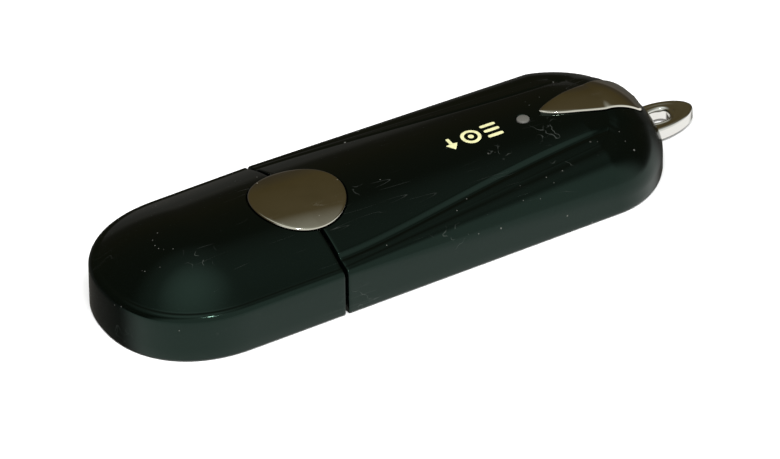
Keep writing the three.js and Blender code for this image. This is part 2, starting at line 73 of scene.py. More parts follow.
class Bench:
    """The modelling operations that every sub-assembly shares."""

    @staticmethod
    def clear() -> None:
        """Deselects every object and leaves edit mode."""
        if bpy.context.object and bpy.context.object.mode != "OBJECT":
            bpy.ops.object.mode_set(mode="OBJECT")
        bpy.ops.object.select_all(action="DESELECT")

    @staticmethod
    def take(piece: bpy.types.Object) -> None:
        """Makes one piece the only selected and active object.

        Args:
            piece: The piece to work on.
        """
        Bench.clear()
        piece.select_set(True)
        bpy.context.view_layer.objects.active = piece

    @staticmethod
    def weave(name: str, table: Array) -> bpy.types.Object:
        """Wraps a grid over a table of points and welds what meets.

        Args:
            name: The new piece's name.
            table: Points as rows x columns x 3.

        Returns:
            The new piece, its faces pointing outwards.
        """
        rows, cols = table.shape[0] - 1, table.shape[1] - 1
        Bench.clear()
        bpy.ops.mesh.primitive_grid_add(x_subdivisions=cols, y_subdivisions=rows, size=2.0)
        piece = bpy.context.object
        piece.name = piece.data.name = name
        flat = np.zeros(len(piece.data.vertices) * 3)
        piece.data.vertices.foreach_get("co", flat)
        place = flat.reshape(-1, 3)
        across = np.rint((place[:, 0] + 1) / 2 * cols).astype(int)
        along = np.rint((place[:, 1] + 1) / 2 * rows).astype(int)
        piece.data.vertices.foreach_set("co", table[along, across].ravel())
        piece.data.update()
        Bench.weld(piece)
        return piece

    @staticmethod
    def weld(piece: bpy.types.Object, gap: float = 4e-7) -> None:
        """Merges doubled points, drops flat faces and turns all faces outwards.

        Args:
            piece: The piece to clean.
            gap: How near two points are to be merged.
        """
        Bench.take(piece)
        bpy.ops.object.mode_set(mode="EDIT")
        bpy.ops.mesh.select_all(action="SELECT")
        bpy.ops.mesh.remove_doubles(threshold=gap)
        bpy.ops.mesh.dissolve_degenerate(threshold=gap)
        bpy.ops.mesh.normals_make_consistent(inside=False)
        bpy.ops.object.mode_set(mode="OBJECT")

    @staticmethod
    def pick_edges(piece: bpy.types.Object, wanted: Callable[[bmesh.types.BMEdge], bool]) -> None:
        """Selects the edges that a test picks and stays in edit mode.

        Args:
            piece: The piece whose edges are picked.
            wanted: The test for one edge.
        """
        Bench.take(piece)
        bpy.ops.object.mode_set(mode="EDIT")
        bpy.ops.mesh.select_mode(type="EDGE")
        bpy.ops.mesh.select_all(action="DESELECT")
        mesh = bmesh.from_edit_mesh(piece.data)
        for edge in mesh.edges:
            if wanted(edge):
                edge.select_set(True)
        mesh.select_flush_mode()
        bmesh.update_edit_mesh(piece.data)

    @staticmethod
    def close_rim(piece: bpy.types.Object, x: float) -> None:
        """Fills the open rim that lies in the plane at x.

        Args:
            piece: The piece with the open rim.
            x: Where the rim lies.
        """
        Bench.pick_edges(piece, lambda e: e.is_boundary and all(abs(v.co.x - x) < 1e-6 for v in e.verts))
        bpy.ops.mesh.edge_face_add()
        bpy.ops.mesh.select_all(action="SELECT")
        bpy.ops.mesh.normals_make_consistent(inside=False)
        bpy.ops.object.mode_set(mode="OBJECT")

    @staticmethod
    def round_lip(piece: bpy.types.Object, x: float, way: float, radius: float, size: Sequence[float],
                  middle: float, steps: int = 4) -> None:
        """Rounds the open rim at x over into an end face and fills it.

        Args:
            piece: The piece with the open rim.
            x: Where the rim lies.
            way: +1 if the end faces +X, -1 if it faces -X.
            radius: The lip's radius.
            size: The rim's half width and half height.
            middle: The height of the rim's middle.
            steps: How many steps make the quarter round.
        """
        Bench.pick_edges(piece, lambda e: e.is_boundary and all(abs(v.co.x - x) < 1e-6 for v in e.verts))
        ahead, inset = 0.0, 0.0
        for step in range(1, steps + 1):
            angle = step / steps * math.pi / 2
            reach, tuck = radius * math.sin(angle), radius * (1 - math.cos(angle))
            keep = [(half - tuck) / (half - inset) for half in size]
            bpy.ops.mesh.extrude_region_move(TRANSFORM_OT_translate={"value": (way * (reach - ahead), 0, 0)})
            bpy.ops.transform.resize(value=(1, keep[0], keep[1]), center_override=(x, 0, middle))
            ahead, inset = reach, tuck
        bpy.ops.mesh.edge_face_add()
        bpy.ops.mesh.select_all(action="SELECT")
        bpy.ops.mesh.normals_make_consistent(inside=False)
        bpy.ops.object.mode_set(mode="OBJECT")

    @staticmethod
    def cut_off(piece: bpy.types.Object, place: Sequence[float], normal: Sequence[float]) -> None:
        """Cuts away what lies beyond a plane, on its normal's side, and closes the cut.

        Args:
            piece: The piece to cut.
            place: A point of the plane.
            normal: The plane's normal, towards what goes.
        """
        Bench.take(piece)
        bpy.ops.object.mode_set(mode="EDIT")
        bpy.ops.mesh.select_all(action="SELECT")
        bpy.ops.mesh.bisect(plane_co=place, plane_no=normal, use_fill=True, clear_outer=True)
        bpy.ops.mesh.select_all(action="SELECT")
        bpy.ops.mesh.normals_make_consistent(inside=False)
        bpy.ops.object.mode_set(mode="OBJECT")

    @staticmethod
    def merge(piece: bpy.types.Object, tool: bpy.types.Object, operation: str = "DIFFERENCE") -> None:
        """Cuts a piece with a tool, or joins the tool to it, and uses the tool up.

        Args:
            piece: The piece to work on.
            tool: The closed form to cut with or to join.
            operation: DIFFERENCE or UNION.
        """
        Bench.take(piece)
        step = piece.modifiers.new("cut", "BOOLEAN")
        step.object, step.operation, step.solver = tool, operation, "EXACT"
        bpy.ops.object.modifier_apply(modifier=step.name)
        data = tool.data
        bpy.data.objects.remove(tool)
        bpy.data.meshes.remove(data)

    @staticmethod
    def block(name: str, low: Sequence[float], high: Sequence[float], bevel: float = 0.0,
              segments: int = 3) -> bpy.types.Object:
        """Adds a block between two corners, its edges bevelled in edit mode.

        Args:
            name: The block's name.
            low: Its low corner.
            high: Its high corner.
            bevel: The width of its bevel, or 0 for none.
            segments: Steps in the bevel.

        Returns:
            The block.
        """
        Bench.clear()
        middle = [(a + b) / 2 for a, b in zip(low, high)]
        bpy.ops.mesh.primitive_cube_add(size=1.0)
        piece = bpy.context.object
        piece.name = piece.data.name = name
        bpy.ops.object.mode_set(mode="EDIT")
        bpy.ops.mesh.select_all(action="SELECT")
        bpy.ops.transform.resize(value=[b - a for a, b in zip(low, high)], center_override=(0, 0, 0))
        bpy.ops.transform.translate(value=middle)
        if bevel > 0:
            bpy.ops.mesh.bevel(offset=bevel, segments=segments, affect="EDGES")
        bpy.ops.object.mode_set(mode="OBJECT")
        return piece

    @staticmethod
    def smooth(piece: bpy.types.Object, degrees: float = 35.0) -> None:
        """Shades a piece smooth, but for edges sharper than an angle."""
        Bench.take(piece)
        bpy.ops.object.shade_smooth_by_angle(angle=math.radians(degrees))


# ---------------------------------------------------------------- the domed outline

@dataclass
class Outline:
    """A plan outline: points, and the centre-line foot that each point draws back to."""

    x: Array
    y: Array
    foot: Array

    def inset(self, depth: Array, half: float) -> "Outline":
        """Returns the outline drawn in towards its feet.

        Args:
            depth: How far to draw in where the outline is half wide.
            half: The outline's half width.
        """
        keep = 1.0 - depth / half
        return Outline(self.foot + (self.x - self.foot) * keep, self.y * keep, self.foot)


@dataclass
class Envelope:
    """The domed, round-ended form that cap and housing share, with its relief."""

    shift: float = 0.0
    length: float = 61.8 * MM
    half_width: float = 10.0 * MM
    nose_reach: float = 11.2 * MM
    nose_power: float = 2.18
    tail_reach: float = 9.0 * MM
    tail_power: float = 2.0
    crown_nose: float = 8.6 * MM
    crown_tail: float = 7.0 * MM
    edge_seam: float = 5.4 * MM
    edge_tail: float = 6.2 * MM
    edge_end: float = 7.0 * MM
    round_seam: float = 0.8 * MM
    round_tail: float = 4.7 * MM
    tail_lean: float = 1.8 * MM
    seam: float = -9.15 * MM
    shoulder_drop: float = 0.6 * MM
    foot_round: float = 0.3 * MM

    @property
    def nose_x(self) -> float:
        """Where the rounded nose starts."""
        return self.shift - self.length / 2 + self.nose_reach

    @property
    def tail_x(self) -> float:
        """Where the rounded tail starts."""
        return self.shift + self.length / 2 - self.tail_reach

    @property
    def seam_x(self) -> float:
        """Where cap and housing meet."""
        return self.shift + self.seam

    def at(self, x: float) -> float:
        """Carries a place along the drive into the frame."""
        return self.shift + x

    def crown(self, x: Array) -> Array:
        """Height of the crown line."""
        run = ramp01((x - self.shift + self.length / 2) / self.length)
        return self.crown_nose + (self.crown_tail - self.crown_nose) * run

    def tail_run(self, x: Array) -> Array:
        """Share of the way from the seam to the tail."""
        return ramp01((x - self.seam_x) / (self.length / 2 - self.seam))

    def end_run(self, x: Array) -> Array:
        """Share of the way through the rounded tail."""
        return ramp01((x - self.tail_x) / self.tail_reach)

    def edge(self, x: Array) -> Array:
        """Height at which side and crown meet."""
        return (self.edge_seam + (self.edge_tail - self.edge_seam) * self.tail_run(x)
                + (self.edge_end - self.edge_tail) * self.end_run(x) ** 2)

    def rounding(self, x: Array) -> Array:
        """Radius of the top edge."""
        return self.round_seam + (self.round_tail - self.round_seam) * self.tail_run(x)

    def spine_half(self, x: Array) -> Array:
        """Half width of the raised spine, which narrows in an S-curve towards the tail."""
        run = (x - self.seam_x) / (35.2 * MM)
        return (8.2 - 3.7 * smooth01(run) ** 0.8) * MM

    def straight(self, start: float, end: float, steps: int, half: float) -> Outline:
        """One long side, at y = half."""
        x = np.linspace(start, end, steps + 1)
        return Outline(x, np.full_like(x, half), x.copy())

    def arc(self, grow: float, steps: int, tail: bool) -> Outline:
        """A rounded end, from its -Y side to its +Y side.

        Args:
            grow: How far it stands out of the nominal outline.
            steps: Steps in a quarter turn.
            tail: Whether it is the tail end or the nose.

        Returns:
            The end, its feet at the middle of its curve.
        """
        reach = (self.tail_reach if tail else self.nose_reach) + grow
        power = self.tail_power if tail else self.nose_power
        angle = np.linspace(-math.pi / 2, math.pi / 2, 2 * steps + 1)
        out = reach * np.abs(np.cos(angle)) ** (2 / power)
        side = (self.half_width + grow) * np.sign(np.sin(angle)) * np.abs(np.sin(angle)) ** (2 / power)
        foot = self.tail_x if tail else self.nose_x
        return Outline(foot + (out if tail else -out), side, np.full_like(out, foot))

    def outline(self, start: float, tail: bool, grow: float = 0.0, pitch: float = 0.25 * MM,
                arc_steps: int = 64) -> Outline:
        """The outline from a cross-cut at start, round one end and back to the cut.

        Args:
            start: Where the cross-cut lies.
            tail: Whether it goes round the tail or the nose.
            grow: How far it stands out of the nominal outline.
            pitch: Spacing along the straight sides.
            arc_steps: Steps in a quarter turn of the end.

        Returns:
            The outline.
        """
        half = self.half_width + grow
        end = self.tail_x if tail else self.nose_x
        steps = max(int(abs(end - start) / pitch), 2)
        near = self.straight(start, end, steps, -half)
        far = self.straight(end, start, steps, half)
        bend = self.arc(grow, arc_steps, tail)
        parts = [(near, slice(0, -1)), (bend, slice(0, None)), (far, slice(1, None))]
        return Outline(*(np.concatenate([getattr(p, k)[s] for p, s in parts]) for k in ("x", "y", "foot")))

    def skin(self, line: Outline, grow: float = 0.0, low: float = 0.0, drop: float = 0.0, dome_rows: int = 78,
             round_rows: int = 10, relief: bool = False) -> Array:
        """Points of the domed skin over an outline, from the middle below to the middle above.

        Args:
            line: The plan outline.
            grow: How far the skin stands out of the nominal one.
            low: Height of the flat underside.
            drop: How far the crown is lowered.
            dome_rows: Rows over the crown.
            round_rows: Rows over the top edge's rounding.
            relief: Whether shoulders and spine are formed.

        Returns:
            A table of points, rows x columns x 3.
        """
        half = self.half_width + grow
        radius = np.maximum(self.rounding(line.x) + grow, 0.12 * MM)
        lean = self.tail_lean * self.end_run(line.x)
        edge = self.edge(line.x) + grow
        level = np.zeros_like(line.x)
        rows = [(line.inset(level + half, half), level + low)]
        for step in range(5):
            angle = step / 4 * math.pi / 2
            depth = self.foot_round * (1 - math.sin(angle))
            height = low + self.foot_round * (1 - math.cos(angle))
            rows.append((line.inset(level + depth, half), level + height))
        wall_low = rows[-1][1]
        for share in (0.25, 0.5, 0.75):
            rows.append((line, wall_low + (edge - radius - wall_low) * share))
        for step in range(round_rows + 1):
            angle = step / round_rows * math.pi / 2
            fade = math.sin(angle)
            depth = radius * (1 - math.cos(angle)) + lean * fade
            z = edge - radius * (1 - fade)
            if relief:
                place = line.inset(depth, half)
                sink = self.relief(place, level + 0.35) * fade * self.end_run(line.x)
                depth, z = depth + sink * math.cos(angle), z - sink * fade
            rows.append((line.inset(depth, half), z))
        start = radius + lean
        for step in range(1, dome_rows + 1):
            share = step / dome_rows
            swell = 1 - (1 - share) ** 2
            place = line.inset(start + (half - start) * share, half)
            z = edge + (self.crown(place.x) - drop - edge + grow) * swell
            if relief:
                ease = smooth01(level + step / 4)
                z = z - self.relief(place, level + swell) * ease
            rows.append((place, z))
        return np.array([np.stack([p.x, p.y, z], axis=1) for p, z in rows])

    def relief(self, place: Outline, swell: Array) -> Array:
        """How deep the skin lies below the spine's own surface, with the groove at the spine's foot.

        Args:
            place: Plan places.
            swell: Share of the crown reached at each place.

        Returns:
            The depth at each place.
        """
        inside = (self.spine_half(place.x) - np.abs(place.y)) / MM
        raised = smooth01((inside + 0.05) / 0.55)
        groove = np.exp(-((inside + 0.15) / 0.24) ** 2) * 0.1 * MM
        fade = 1 - 0.55 * smooth01((place.x - self.shift) / (28.0 * MM) * 2 - 1)
        return ((1 - raised) * self.shoulder_drop * swell + groove) * fade

    def surface(self, x: Array, y: Array) -> Array:
        """Height of the plain skin over a plan place.

        Args:
            x: Places along the drive.
            y: Places across it.

        Returns:
            The heights.
        """
        x, y = np.asarray(x, float), np.abs(np.asarray(y, float))
        tail, nose = x > self.tail_x, x < self.nose_x
        reach = np.where(tail, self.tail_reach, self.nose_reach)
        power = np.where(tail, self.tail_power, self.nose_power)
        foot = np.where(tail, self.tail_x, np.where(nose, self.nose_x, x))
        keep = ((np.abs(x - foot) / reach) ** power + (y / self.half_width) ** power) ** (1 / power)
        keep = np.clip(keep, 1e-9, 0.9999)
        rim = foot + (x - foot) / keep
        depth = (1 - keep) * self.half_width
        radius, lean, edge = self.rounding(rim), self.tail_lean * self.end_run(rim), self.edge(rim)
        start = radius + lean
        share = ramp01((depth - start) / (self.half_width - start))
        dome = edge + (self.crown(x) - edge) * (1 - (1 - share) ** 2)
        bend = np.hypot(radius, lean)
        angle = np.arccos(np.clip((radius - depth) / bend, -1, 1)) - np.arctan2(lean, radius)
        side = edge - radius * (1 - np.sin(np.clip(angle, 0, math.pi / 2)))
        return np.where(depth >= start, dome, side)

    def normal(self, x: Array, y: Array) -> Array:
        """Outward normals of the plain skin over a plan place.

        Args:
            x: Places along the drive.
            y: Places across it.

        Returns:
            Unit normals, one row for each place.
        """
        step = 0.02 * MM
        slope_x = (self.surface(x + step, y) - self.surface(x - step, y)) / (2 * step)
        slope_y = (self.surface(x, y + step) - self.surface(x, y - step)) / (2 * step)
        out = np.stack([-slope_x, -slope_y, np.ones_like(slope_x)], axis=1)
        return out / np.linalg.norm(out, axis=1)[:, None]

    def float_over(self, line: Outline, height: Array) -> Array:
        """Points over the skin, at a height along its normal."""
        foot = np.stack([line.x, line.y, self.surface(line.x, line.y)], axis=1)
        return foot + self.normal(line.x, line.y) * np.broadcast_to(height, line.x.shape)[:, None]


# ---------------------------------------------------------------- shader writing

class Value:
    """A shader value whose arithmetic adds Math nodes."""

    def __init__(self, maker: "Nodes", socket: bpy.types.NodeSocket) -> None:
        """Keeps the maker and the socket that carries the value."""
        self.maker = maker
        self.socket = socket

    def math(self, operation: str, other: object = None, third: object = None) -> "Value":
        """Adds a Math node on this value.

        Args:
            operation: The node's operation.
            other: The second operand, a number or a value.
            third: The third operand.

        Returns:
            The node's result.
        """
        inputs = {0: self}
        if other is not None:
            inputs[1] = other
        if third is not None:
            inputs[2] = third
        return self.maker.add("ShaderNodeMath", {"operation": operation}, inputs)

    def __add__(self, other: object) -> "Value":
        """Adds."""
        return self.math("ADD", other)

    __radd__ = __add__

    def __mul__(self, other: object) -> "Value":
        """Multiplies."""
        return self.math("MULTIPLY", other)

    __rmul__ = __mul__

    def __sub__(self, other: object) -> "Value":
        """Subtracts."""
        return self.math("SUBTRACT", other)

    def __rsub__(self, other: float) -> "Value":
        """Subtracts this value from a number."""
        return self.math("MULTIPLY_ADD", -1.0, other)

    def rise(self, low: float, high: float) -> "Value":
        """Climbs smoothly from 0 to 1 between two levels."""
        return self.maker.add("ShaderNodeMapRange", {"interpolation_type": "SMOOTHSTEP"},
                              {"Value": self, "From Min": low, "From Max": high})

    def absolute(self) -> "Value":
        """The value without its sign."""
        return self.math("ABSOLUTE")


class Nodes:
    """Writes nodes into one tree."""

    def __init__(self, tree: bpy.types.NodeTree, coordinates: str) -> None:
        """Empties the tree and starts it with one kind of texture coordinate.

        Args:
            tree: The tree to write.
            coordinates: The texture coordinate that serves as place.
        """
        self.tree = tree
        self.tree.nodes.clear()
        self.place = self.add("ShaderNodeTexCoord", {}, {}, coordinates)

    def add(self, kind: str, settings: dict, inputs: dict, output: object = 0) -> Value:
        """Adds any node.

        Args:
            kind: The node's type.
            settings: Its properties, and "stops" for a colour ramp.
            inputs: Values, numbers or colours by socket name or number.
            output: The socket to return, by name or number.

        Returns:
            The chosen output.
        """
        node = self.tree.nodes.new(kind)
        for name, value in settings.items():
            if name == "stops":
                ramp = node.color_ramp.elements
                for index, (at, tone) in enumerate(value):
                    stop = ramp[index] if index < 2 else ramp.new(at)
                    stop.position, stop.color = at, tone
            else:
                setattr(node, name, value)
        for name, value in inputs.items():
            if isinstance(value, Value):
                self.tree.links.new(value.socket, node.inputs[name])
            else:
                node.inputs[name].default_value = value
        return Value(self, node.outputs[output])

    def blend(self, share: Value, first: object, second: object) -> Value:
        """Mixes two colours."""
        return self.add("ShaderNodeMix", {"data_type": "RGBA"}, {0: share, 6: first, 7: second}, 2)

    def axis(self, name: str) -> Value:
        """One coordinate of the place."""
        return self.add("ShaderNodeSeparateXYZ", {}, {0: self.place}, name)


class NodeMaker(Nodes):
    """Writes one material's nodes."""

    def __init__(self, name: str) -> None:
        """Starts an empty material with a shader and Object coordinates.

        Args:
            name: The material's name.
        """
        self.material = bpy.data.materials.new(name)
        self.material.use_nodes = True
        super().__init__(self.material.node_tree, "Object")
        output = self.tree.nodes.new("ShaderNodeOutputMaterial")
        self.shader = self.tree.nodes.new("ShaderNodeBsdfPrincipled")
        self.tree.links.new(self.shader.outputs[0], output.inputs[0])

    def set(self, **sockets: object) -> None:
        """Sets or links the shader's sockets, with _ for a space in their names."""
        for name, value in sockets.items():
            socket = self.shader.inputs[name.replace("_", " ")]
            if isinstance(value, Value):
                self.tree.links.new(value.socket, socket)
            else:
                socket.default_value = value

    def mapped(self, scale: Sequence[float], turn: Sequence[float] = (0, 0, 0),
               move: Sequence[float] = (0, 0, 0)) -> Value:
        """Object coordinates after scaling, turning and moving."""
        return self.add("ShaderNodeMapping", {}, {"Vector": self.place, "Scale": scale, "Rotation": turn,
                                                  "Location": move})

    def noise(self, scale: float, detail: float = 3.0, vector: Optional[Value] = None,
              roughness: float = 0.5) -> Value:
        """Fractal noise, about 0.5 on average."""
        return self.add("ShaderNodeTexNoise", {}, {"Vector": vector or self.place, "Scale": scale,
                                                   "Detail": detail, "Roughness": roughness})

    def specks(self, scale: float, size: float, vector: Optional[Value] = None) -> Value:
        """Round specks of one size scattered at random, 1 inside and 0 outside.

        Args:
            scale: How close together they lie.
            size: A speck's radius in its cell.
            vector: The place to read, if not the plain one.

        Returns:
            The mask.
        """
        return 1 - self.add("ShaderNodeTexVoronoi", {"feature": "F1"},
                            {"Vector": vector or self.place, "Scale": scale, "Randomness": 1.0},
                            "Distance").rise(size * 0.6, size)

    def bump(self, height: Value, strength: float, distance: float) -> Value:
        """Turns a height into a normal."""
        return self.add("ShaderNodeBump", {}, {"Height": height, "Strength": strength, "Distance": distance})


def colour(red: float, green: float, blue: float) -> tuple[float, float, float, float]:
    """A linear colour with full opacity."""
    return (red, green, blue, 1.0)


@dataclass(frozen=True)
class BlackGloss:
    """High-gloss black moulding with hairline scratches, dust and scuffs."""

    name: str = "black_gloss"
    scuffs: tuple = ()
    polish: float = 0.09

    def make(self) -> bpy.types.Material:
        """Returns the finish as a material."""
        m = NodeMaker(self.name)
        fine = m.noise(900.0, 4.0)
        scratches = None
        for turn, scale in ((0.35, 700.0), (1.9, 900.0), (2.75, 620.0)):
            line = m.noise(scale, 1.0, m.mapped((0.07, 1.0, 1.0), (0.0, 0.0, turn)), 0.4)
            mark = 1 - (line - 0.5).absolute().rise(0.001, 0.004)
            patch = m.noise(150.0, 2.0, m.mapped((1, 1, 1), (0, 0, 0), (turn, scale, 0))).rise(0.6, 0.7)
            mark = mark * patch
            scratches = mark if scratches is None else scratches.math("MAXIMUM", mark)
        sparse = m.noise(210.0, 2.0).rise(0.57, 0.62)
        dust = m.specks(1150.0, 0.085) * sparse
        lint = m.specks(620.0, 0.075) * m.noise(90.0, 1.0).rise(0.55, 0.6)
        dust = dust.math("MAXIMUM", lint)
        curl = (m.noise(560.0, 2.0, None, 0.45) - 0.52).absolute()
        hairs = (1 - curl.rise(0.004, 0.016)) * m.noise(900.0, 1.0).rise(0.45, 0.6)
        scuff = dust * 0.0
        for x, y, z, size in self.scuffs:
            near = m.add("ShaderNodeVectorMath", {"operation": "DISTANCE"},
                         {0: m.place, 1: (x, y, z)}, "Value")
            scuff = scuff.math("MAXIMUM", (1 - near.rise(size * 0.4, size)) * hairs)
        smear = m.noise(60.0, 3.0).rise(0.35, 0.75)
        body = m.blend(m.noise(45.0, 2.0), colour(0.0005, 0.0009, 0.0008), colour(0.0009, 0.0015, 0.0013))
        body = m.blend(scratches * 0.09, body, colour(0.20, 0.21, 0.20))
        body = m.blend(scuff * 0.24, body, colour(0.12, 0.13, 0.12))
        m.set(Base_Color=m.blend(dust * 0.22, body, colour(0.42, 0.41, 0.38)),
              Roughness=(smear * 0.07 + fine * 0.03 + self.polish
                         + scratches * 0.25 + dust * 0.5 + scuff * 0.35),
              Normal=m.bump(fine * 0.15 - scratches + dust * 2.0 + m.noise(140.0, 1.0) * 1.2, 0.25, 0.00002),
              IOR=1.4, Specular_Tint=colour(0.5, 0.86, 0.7))
        return m.material


@dataclass(frozen=True)
class BlackSatin:
    """Satin black moulding with a fine spark texture."""

    name: str = "black_satin"

    def make(self) -> bpy.types.Material:
        """Returns the finish as a material."""
        m = NodeMaker(self.name)
        grain = m.noise(3500.0, 3.0)
        rub = m.noise(120.0, 3.0).rise(0.45, 0.7)
        m.set(Base_Color=m.blend(rub, colour(0.009, 0.011, 0.0105), colour(0.018, 0.02, 0.019)),
              Roughness=0.5 - rub * 0.14 + grain * 0.06,
              Normal=m.bump(grain, 0.3, 0.00003))
        return m.material


@dataclass(frozen=True)
class Polished:
    """Polished plating with faint haze and hairlines."""

    name: str = "polished_trim"
    tint: tuple = (0.66, 0.63, 0.56)
    haze: float = 0.06
    waviness: float = 0.25

    def make(self) -> bpy.types.Material:
        """Returns the finish as a material."""
        m = NodeMaker(self.name)
        cloud = m.noise(160.0, 3.0).rise(0.4, 0.75)
        line = m.noise(500.0, 2.0, m.mapped((0.05, 1.0, 1.0), (0.0, 0.0, 0.9)), 0.4)
        hair = 1 - (line - 0.5).absolute().rise(0.002, 0.007)
        hair = hair * m.noise(200.0, 2.0).rise(0.5, 0.62)
        pits = m.specks(900.0, 0.09) * m.noise(150.0, 2.0).rise(0.55, 0.62)
        red, green, blue = self.tint
        clean = m.blend(cloud, colour(red, green, blue), colour(red * 0.86, green * 0.85, blue * 0.8))
        m.set(Base_Color=m.blend(pits * 0.6, clean, colour(0.25, 0.22, 0.16)),
              Metallic=1 - pits * 0.5,
              Roughness=cloud * 0.05 + self.haze + hair * 0.14 + pits * 0.3,
              Normal=m.bump(m.noise(300.0, 1.0) * self.waviness - hair * 0.3 - pits, 0.2, 0.00002))
        return m.material


@dataclass(frozen=True)
class BrushedSteel:
    """Nickel-plated stamped steel with drawing lines along X."""

    name: str = "plug_steel"
    tint: tuple = (0.6, 0.6, 0.59)

    def make(self) -> bpy.types.Material:
        """Returns the finish as a material."""
        m = NodeMaker(self.name)
        lines = m.noise(900.0, 3.0, m.mapped((0.04, 1.0, 1.0)))
        wear = m.noise(260.0, 3.0).rise(0.5, 0.72)
        red, green, blue = self.tint
        worn = colour(red * 0.8, green * 0.78, blue * 0.74)
        m.set(Base_Color=m.blend(wear, colour(red, green, blue), worn),
              Metallic=1.0,
              Roughness=lines * 0.16 + 0.16 + wear * 0.12,
              Normal=m.bump(lines, 0.25, 0.00001))
        return m.material


@dataclass(frozen=True)
class Gold:
    """Gold-plated contact metal with wipe marks."""

    name: str = "gold_contact"

    def make(self) -> bpy.types.Material:
        """Returns the finish as a material."""
        m = NodeMaker(self.name)
        wipe = m.noise(1200.0, 2.0, m.mapped((0.05, 1.0, 1.0))).rise(0.45, 0.65)
        m.set(Base_Color=m.blend(wipe, colour(0.83, 0.56, 0.19), colour(0.72, 0.5, 0.24)), Metallic=1.0,
              Roughness=wipe * 0.18 + 0.18)
        return m.material


@dataclass(frozen=True)
class Moulded:
    """Plain moulded plastic or resin with a little mottle."""

    name: str
    tint: tuple
    gloss: float = 0.4
    coat: float = 0.0

    def make(self) -> bpy.types.Material:
        """Returns the finish as a material."""
        m = NodeMaker(self.name)
        grain = m.noise(2200.0, 3.0)
        shade = tuple(part * 0.84 for part in self.tint)
        m.set(Base_Color=m.blend(m.noise(300.0, 2.0), colour(*self.tint), colour(*shade)),
              Roughness=grain * 0.12 + self.gloss, Normal=m.bump(grain, 0.15, 0.00002), Coat_Weight=self.coat)
        return m.material


@dataclass(frozen=True)
class BoardMask:
    """Green solder mask over copper tracks, with tinned pads."""

    name: str = "board"

    def make(self) -> bpy.types.Material:
        """Returns the finish as a material."""
        m = NodeMaker(self.name)
        brick = {"offset": 0.5, "squash": 1.0}
        tracks = m.add("ShaderNodeTexBrick", brick,
                       {"Vector": m.mapped((1, 1, 0.2), (0, 0, 0.785)), "Scale": 420.0, "Mortar Size": 0.06,
                        "Color1": colour(0, 0, 0), "Color2": colour(0, 0, 0), "Mortar": colour(1, 1, 1),
                        "Mortar Smooth": 0.3, "Brick Width": 1.4, "Row Height": 0.35}, "Fac")
        holes = m.specks(640.0, 0.13) * m.noise(160.0, 1.0).rise(0.55, 0.57)
        mask = m.blend(tracks, colour(0.012, 0.085, 0.036), colour(0.03, 0.17, 0.07))
        m.set(Base_Color=m.blend(holes, mask, colour(0.62, 0.58, 0.5)), Metallic=holes * 0.9,
              Roughness=0.28 + m.noise(900.0, 2.0) * 0.12, Normal=m.bump(tracks * 0.5 - holes, 0.4, 0.00004))
        return m.material


@dataclass(frozen=True)
class Component:
    """A soldered part: a body between two tinned ends, or a package with tinned leads."""

    name: str
    tint: tuple
    middle: tuple
    reach: tuple
    gloss: float = 0.45

    def make(self) -> bpy.types.Material:
        """Returns the finish as a material, its metal where |place - middle| passes the reach."""
        m = NodeMaker(self.name)
        metal = None
        for axis, at, reach in zip("XY", self.middle, self.reach):
            past = (m.axis(axis) - at).absolute().rise(reach - 0.02 * MM, reach + 0.02 * MM)
            metal = past if metal is None else metal.math("MAXIMUM", past)
        grain = m.noise(2600.0, 3.0)
        body = m.blend(grain, colour(*self.tint), colour(*(part * 0.8 for part in self.tint)))
        m.set(Base_Color=m.blend(metal, body, colour(0.66, 0.65, 0.62)), Metallic=metal,
              Roughness=self.gloss - metal * 0.15 + grain * 0.1, Normal=m.bump(grain, 0.2, 0.00002))
        return m.material


@dataclass(frozen=True)
class Ink:
    """Cream pad-printed ink with a slightly broken surface."""

    name: str = "print_ink"

    def make(self) -> bpy.types.Material:
        """Returns the finish as a material."""
        m = NodeMaker(self.name)
        worn = m.noise(2400.0, 3.0)
        m.set(Base_Color=m.blend(worn.rise(0.35, 0.7), colour(0.6, 0.59, 0.33), colour(0.5, 0.49, 0.27)),
              Roughness=worn * 0.2 + 0.4)
        return m.material


# ---------------------------------------------------------------- sub-assemblies

class Body(Enum):
    """The bodies that pieces ride on."""

    HOUSING = "housing"
    CAP = "cap"


def fit(piece: bpy.types.Object, material: bpy.types.Material, body: Body,
        nodes: Iterable[str] = ()) -> bpy.types.Object:
    """Dresses a finished piece and hangs it on its body.

    Args:
        piece: The finished piece.
        material: Its finish.
        body: The body that it rides on.
        nodes: The CAD nodes that it stands for.

    Returns:
        The same piece.
    """
    piece.data.materials.clear()
    piece.data.materials.append(material)
    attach(piece, body.value)
    for node in nodes:
        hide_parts(node)
    LOG.info("%s: %d faces on %s", piece.name, len(piece.data.polygons), body.value)
    return piece


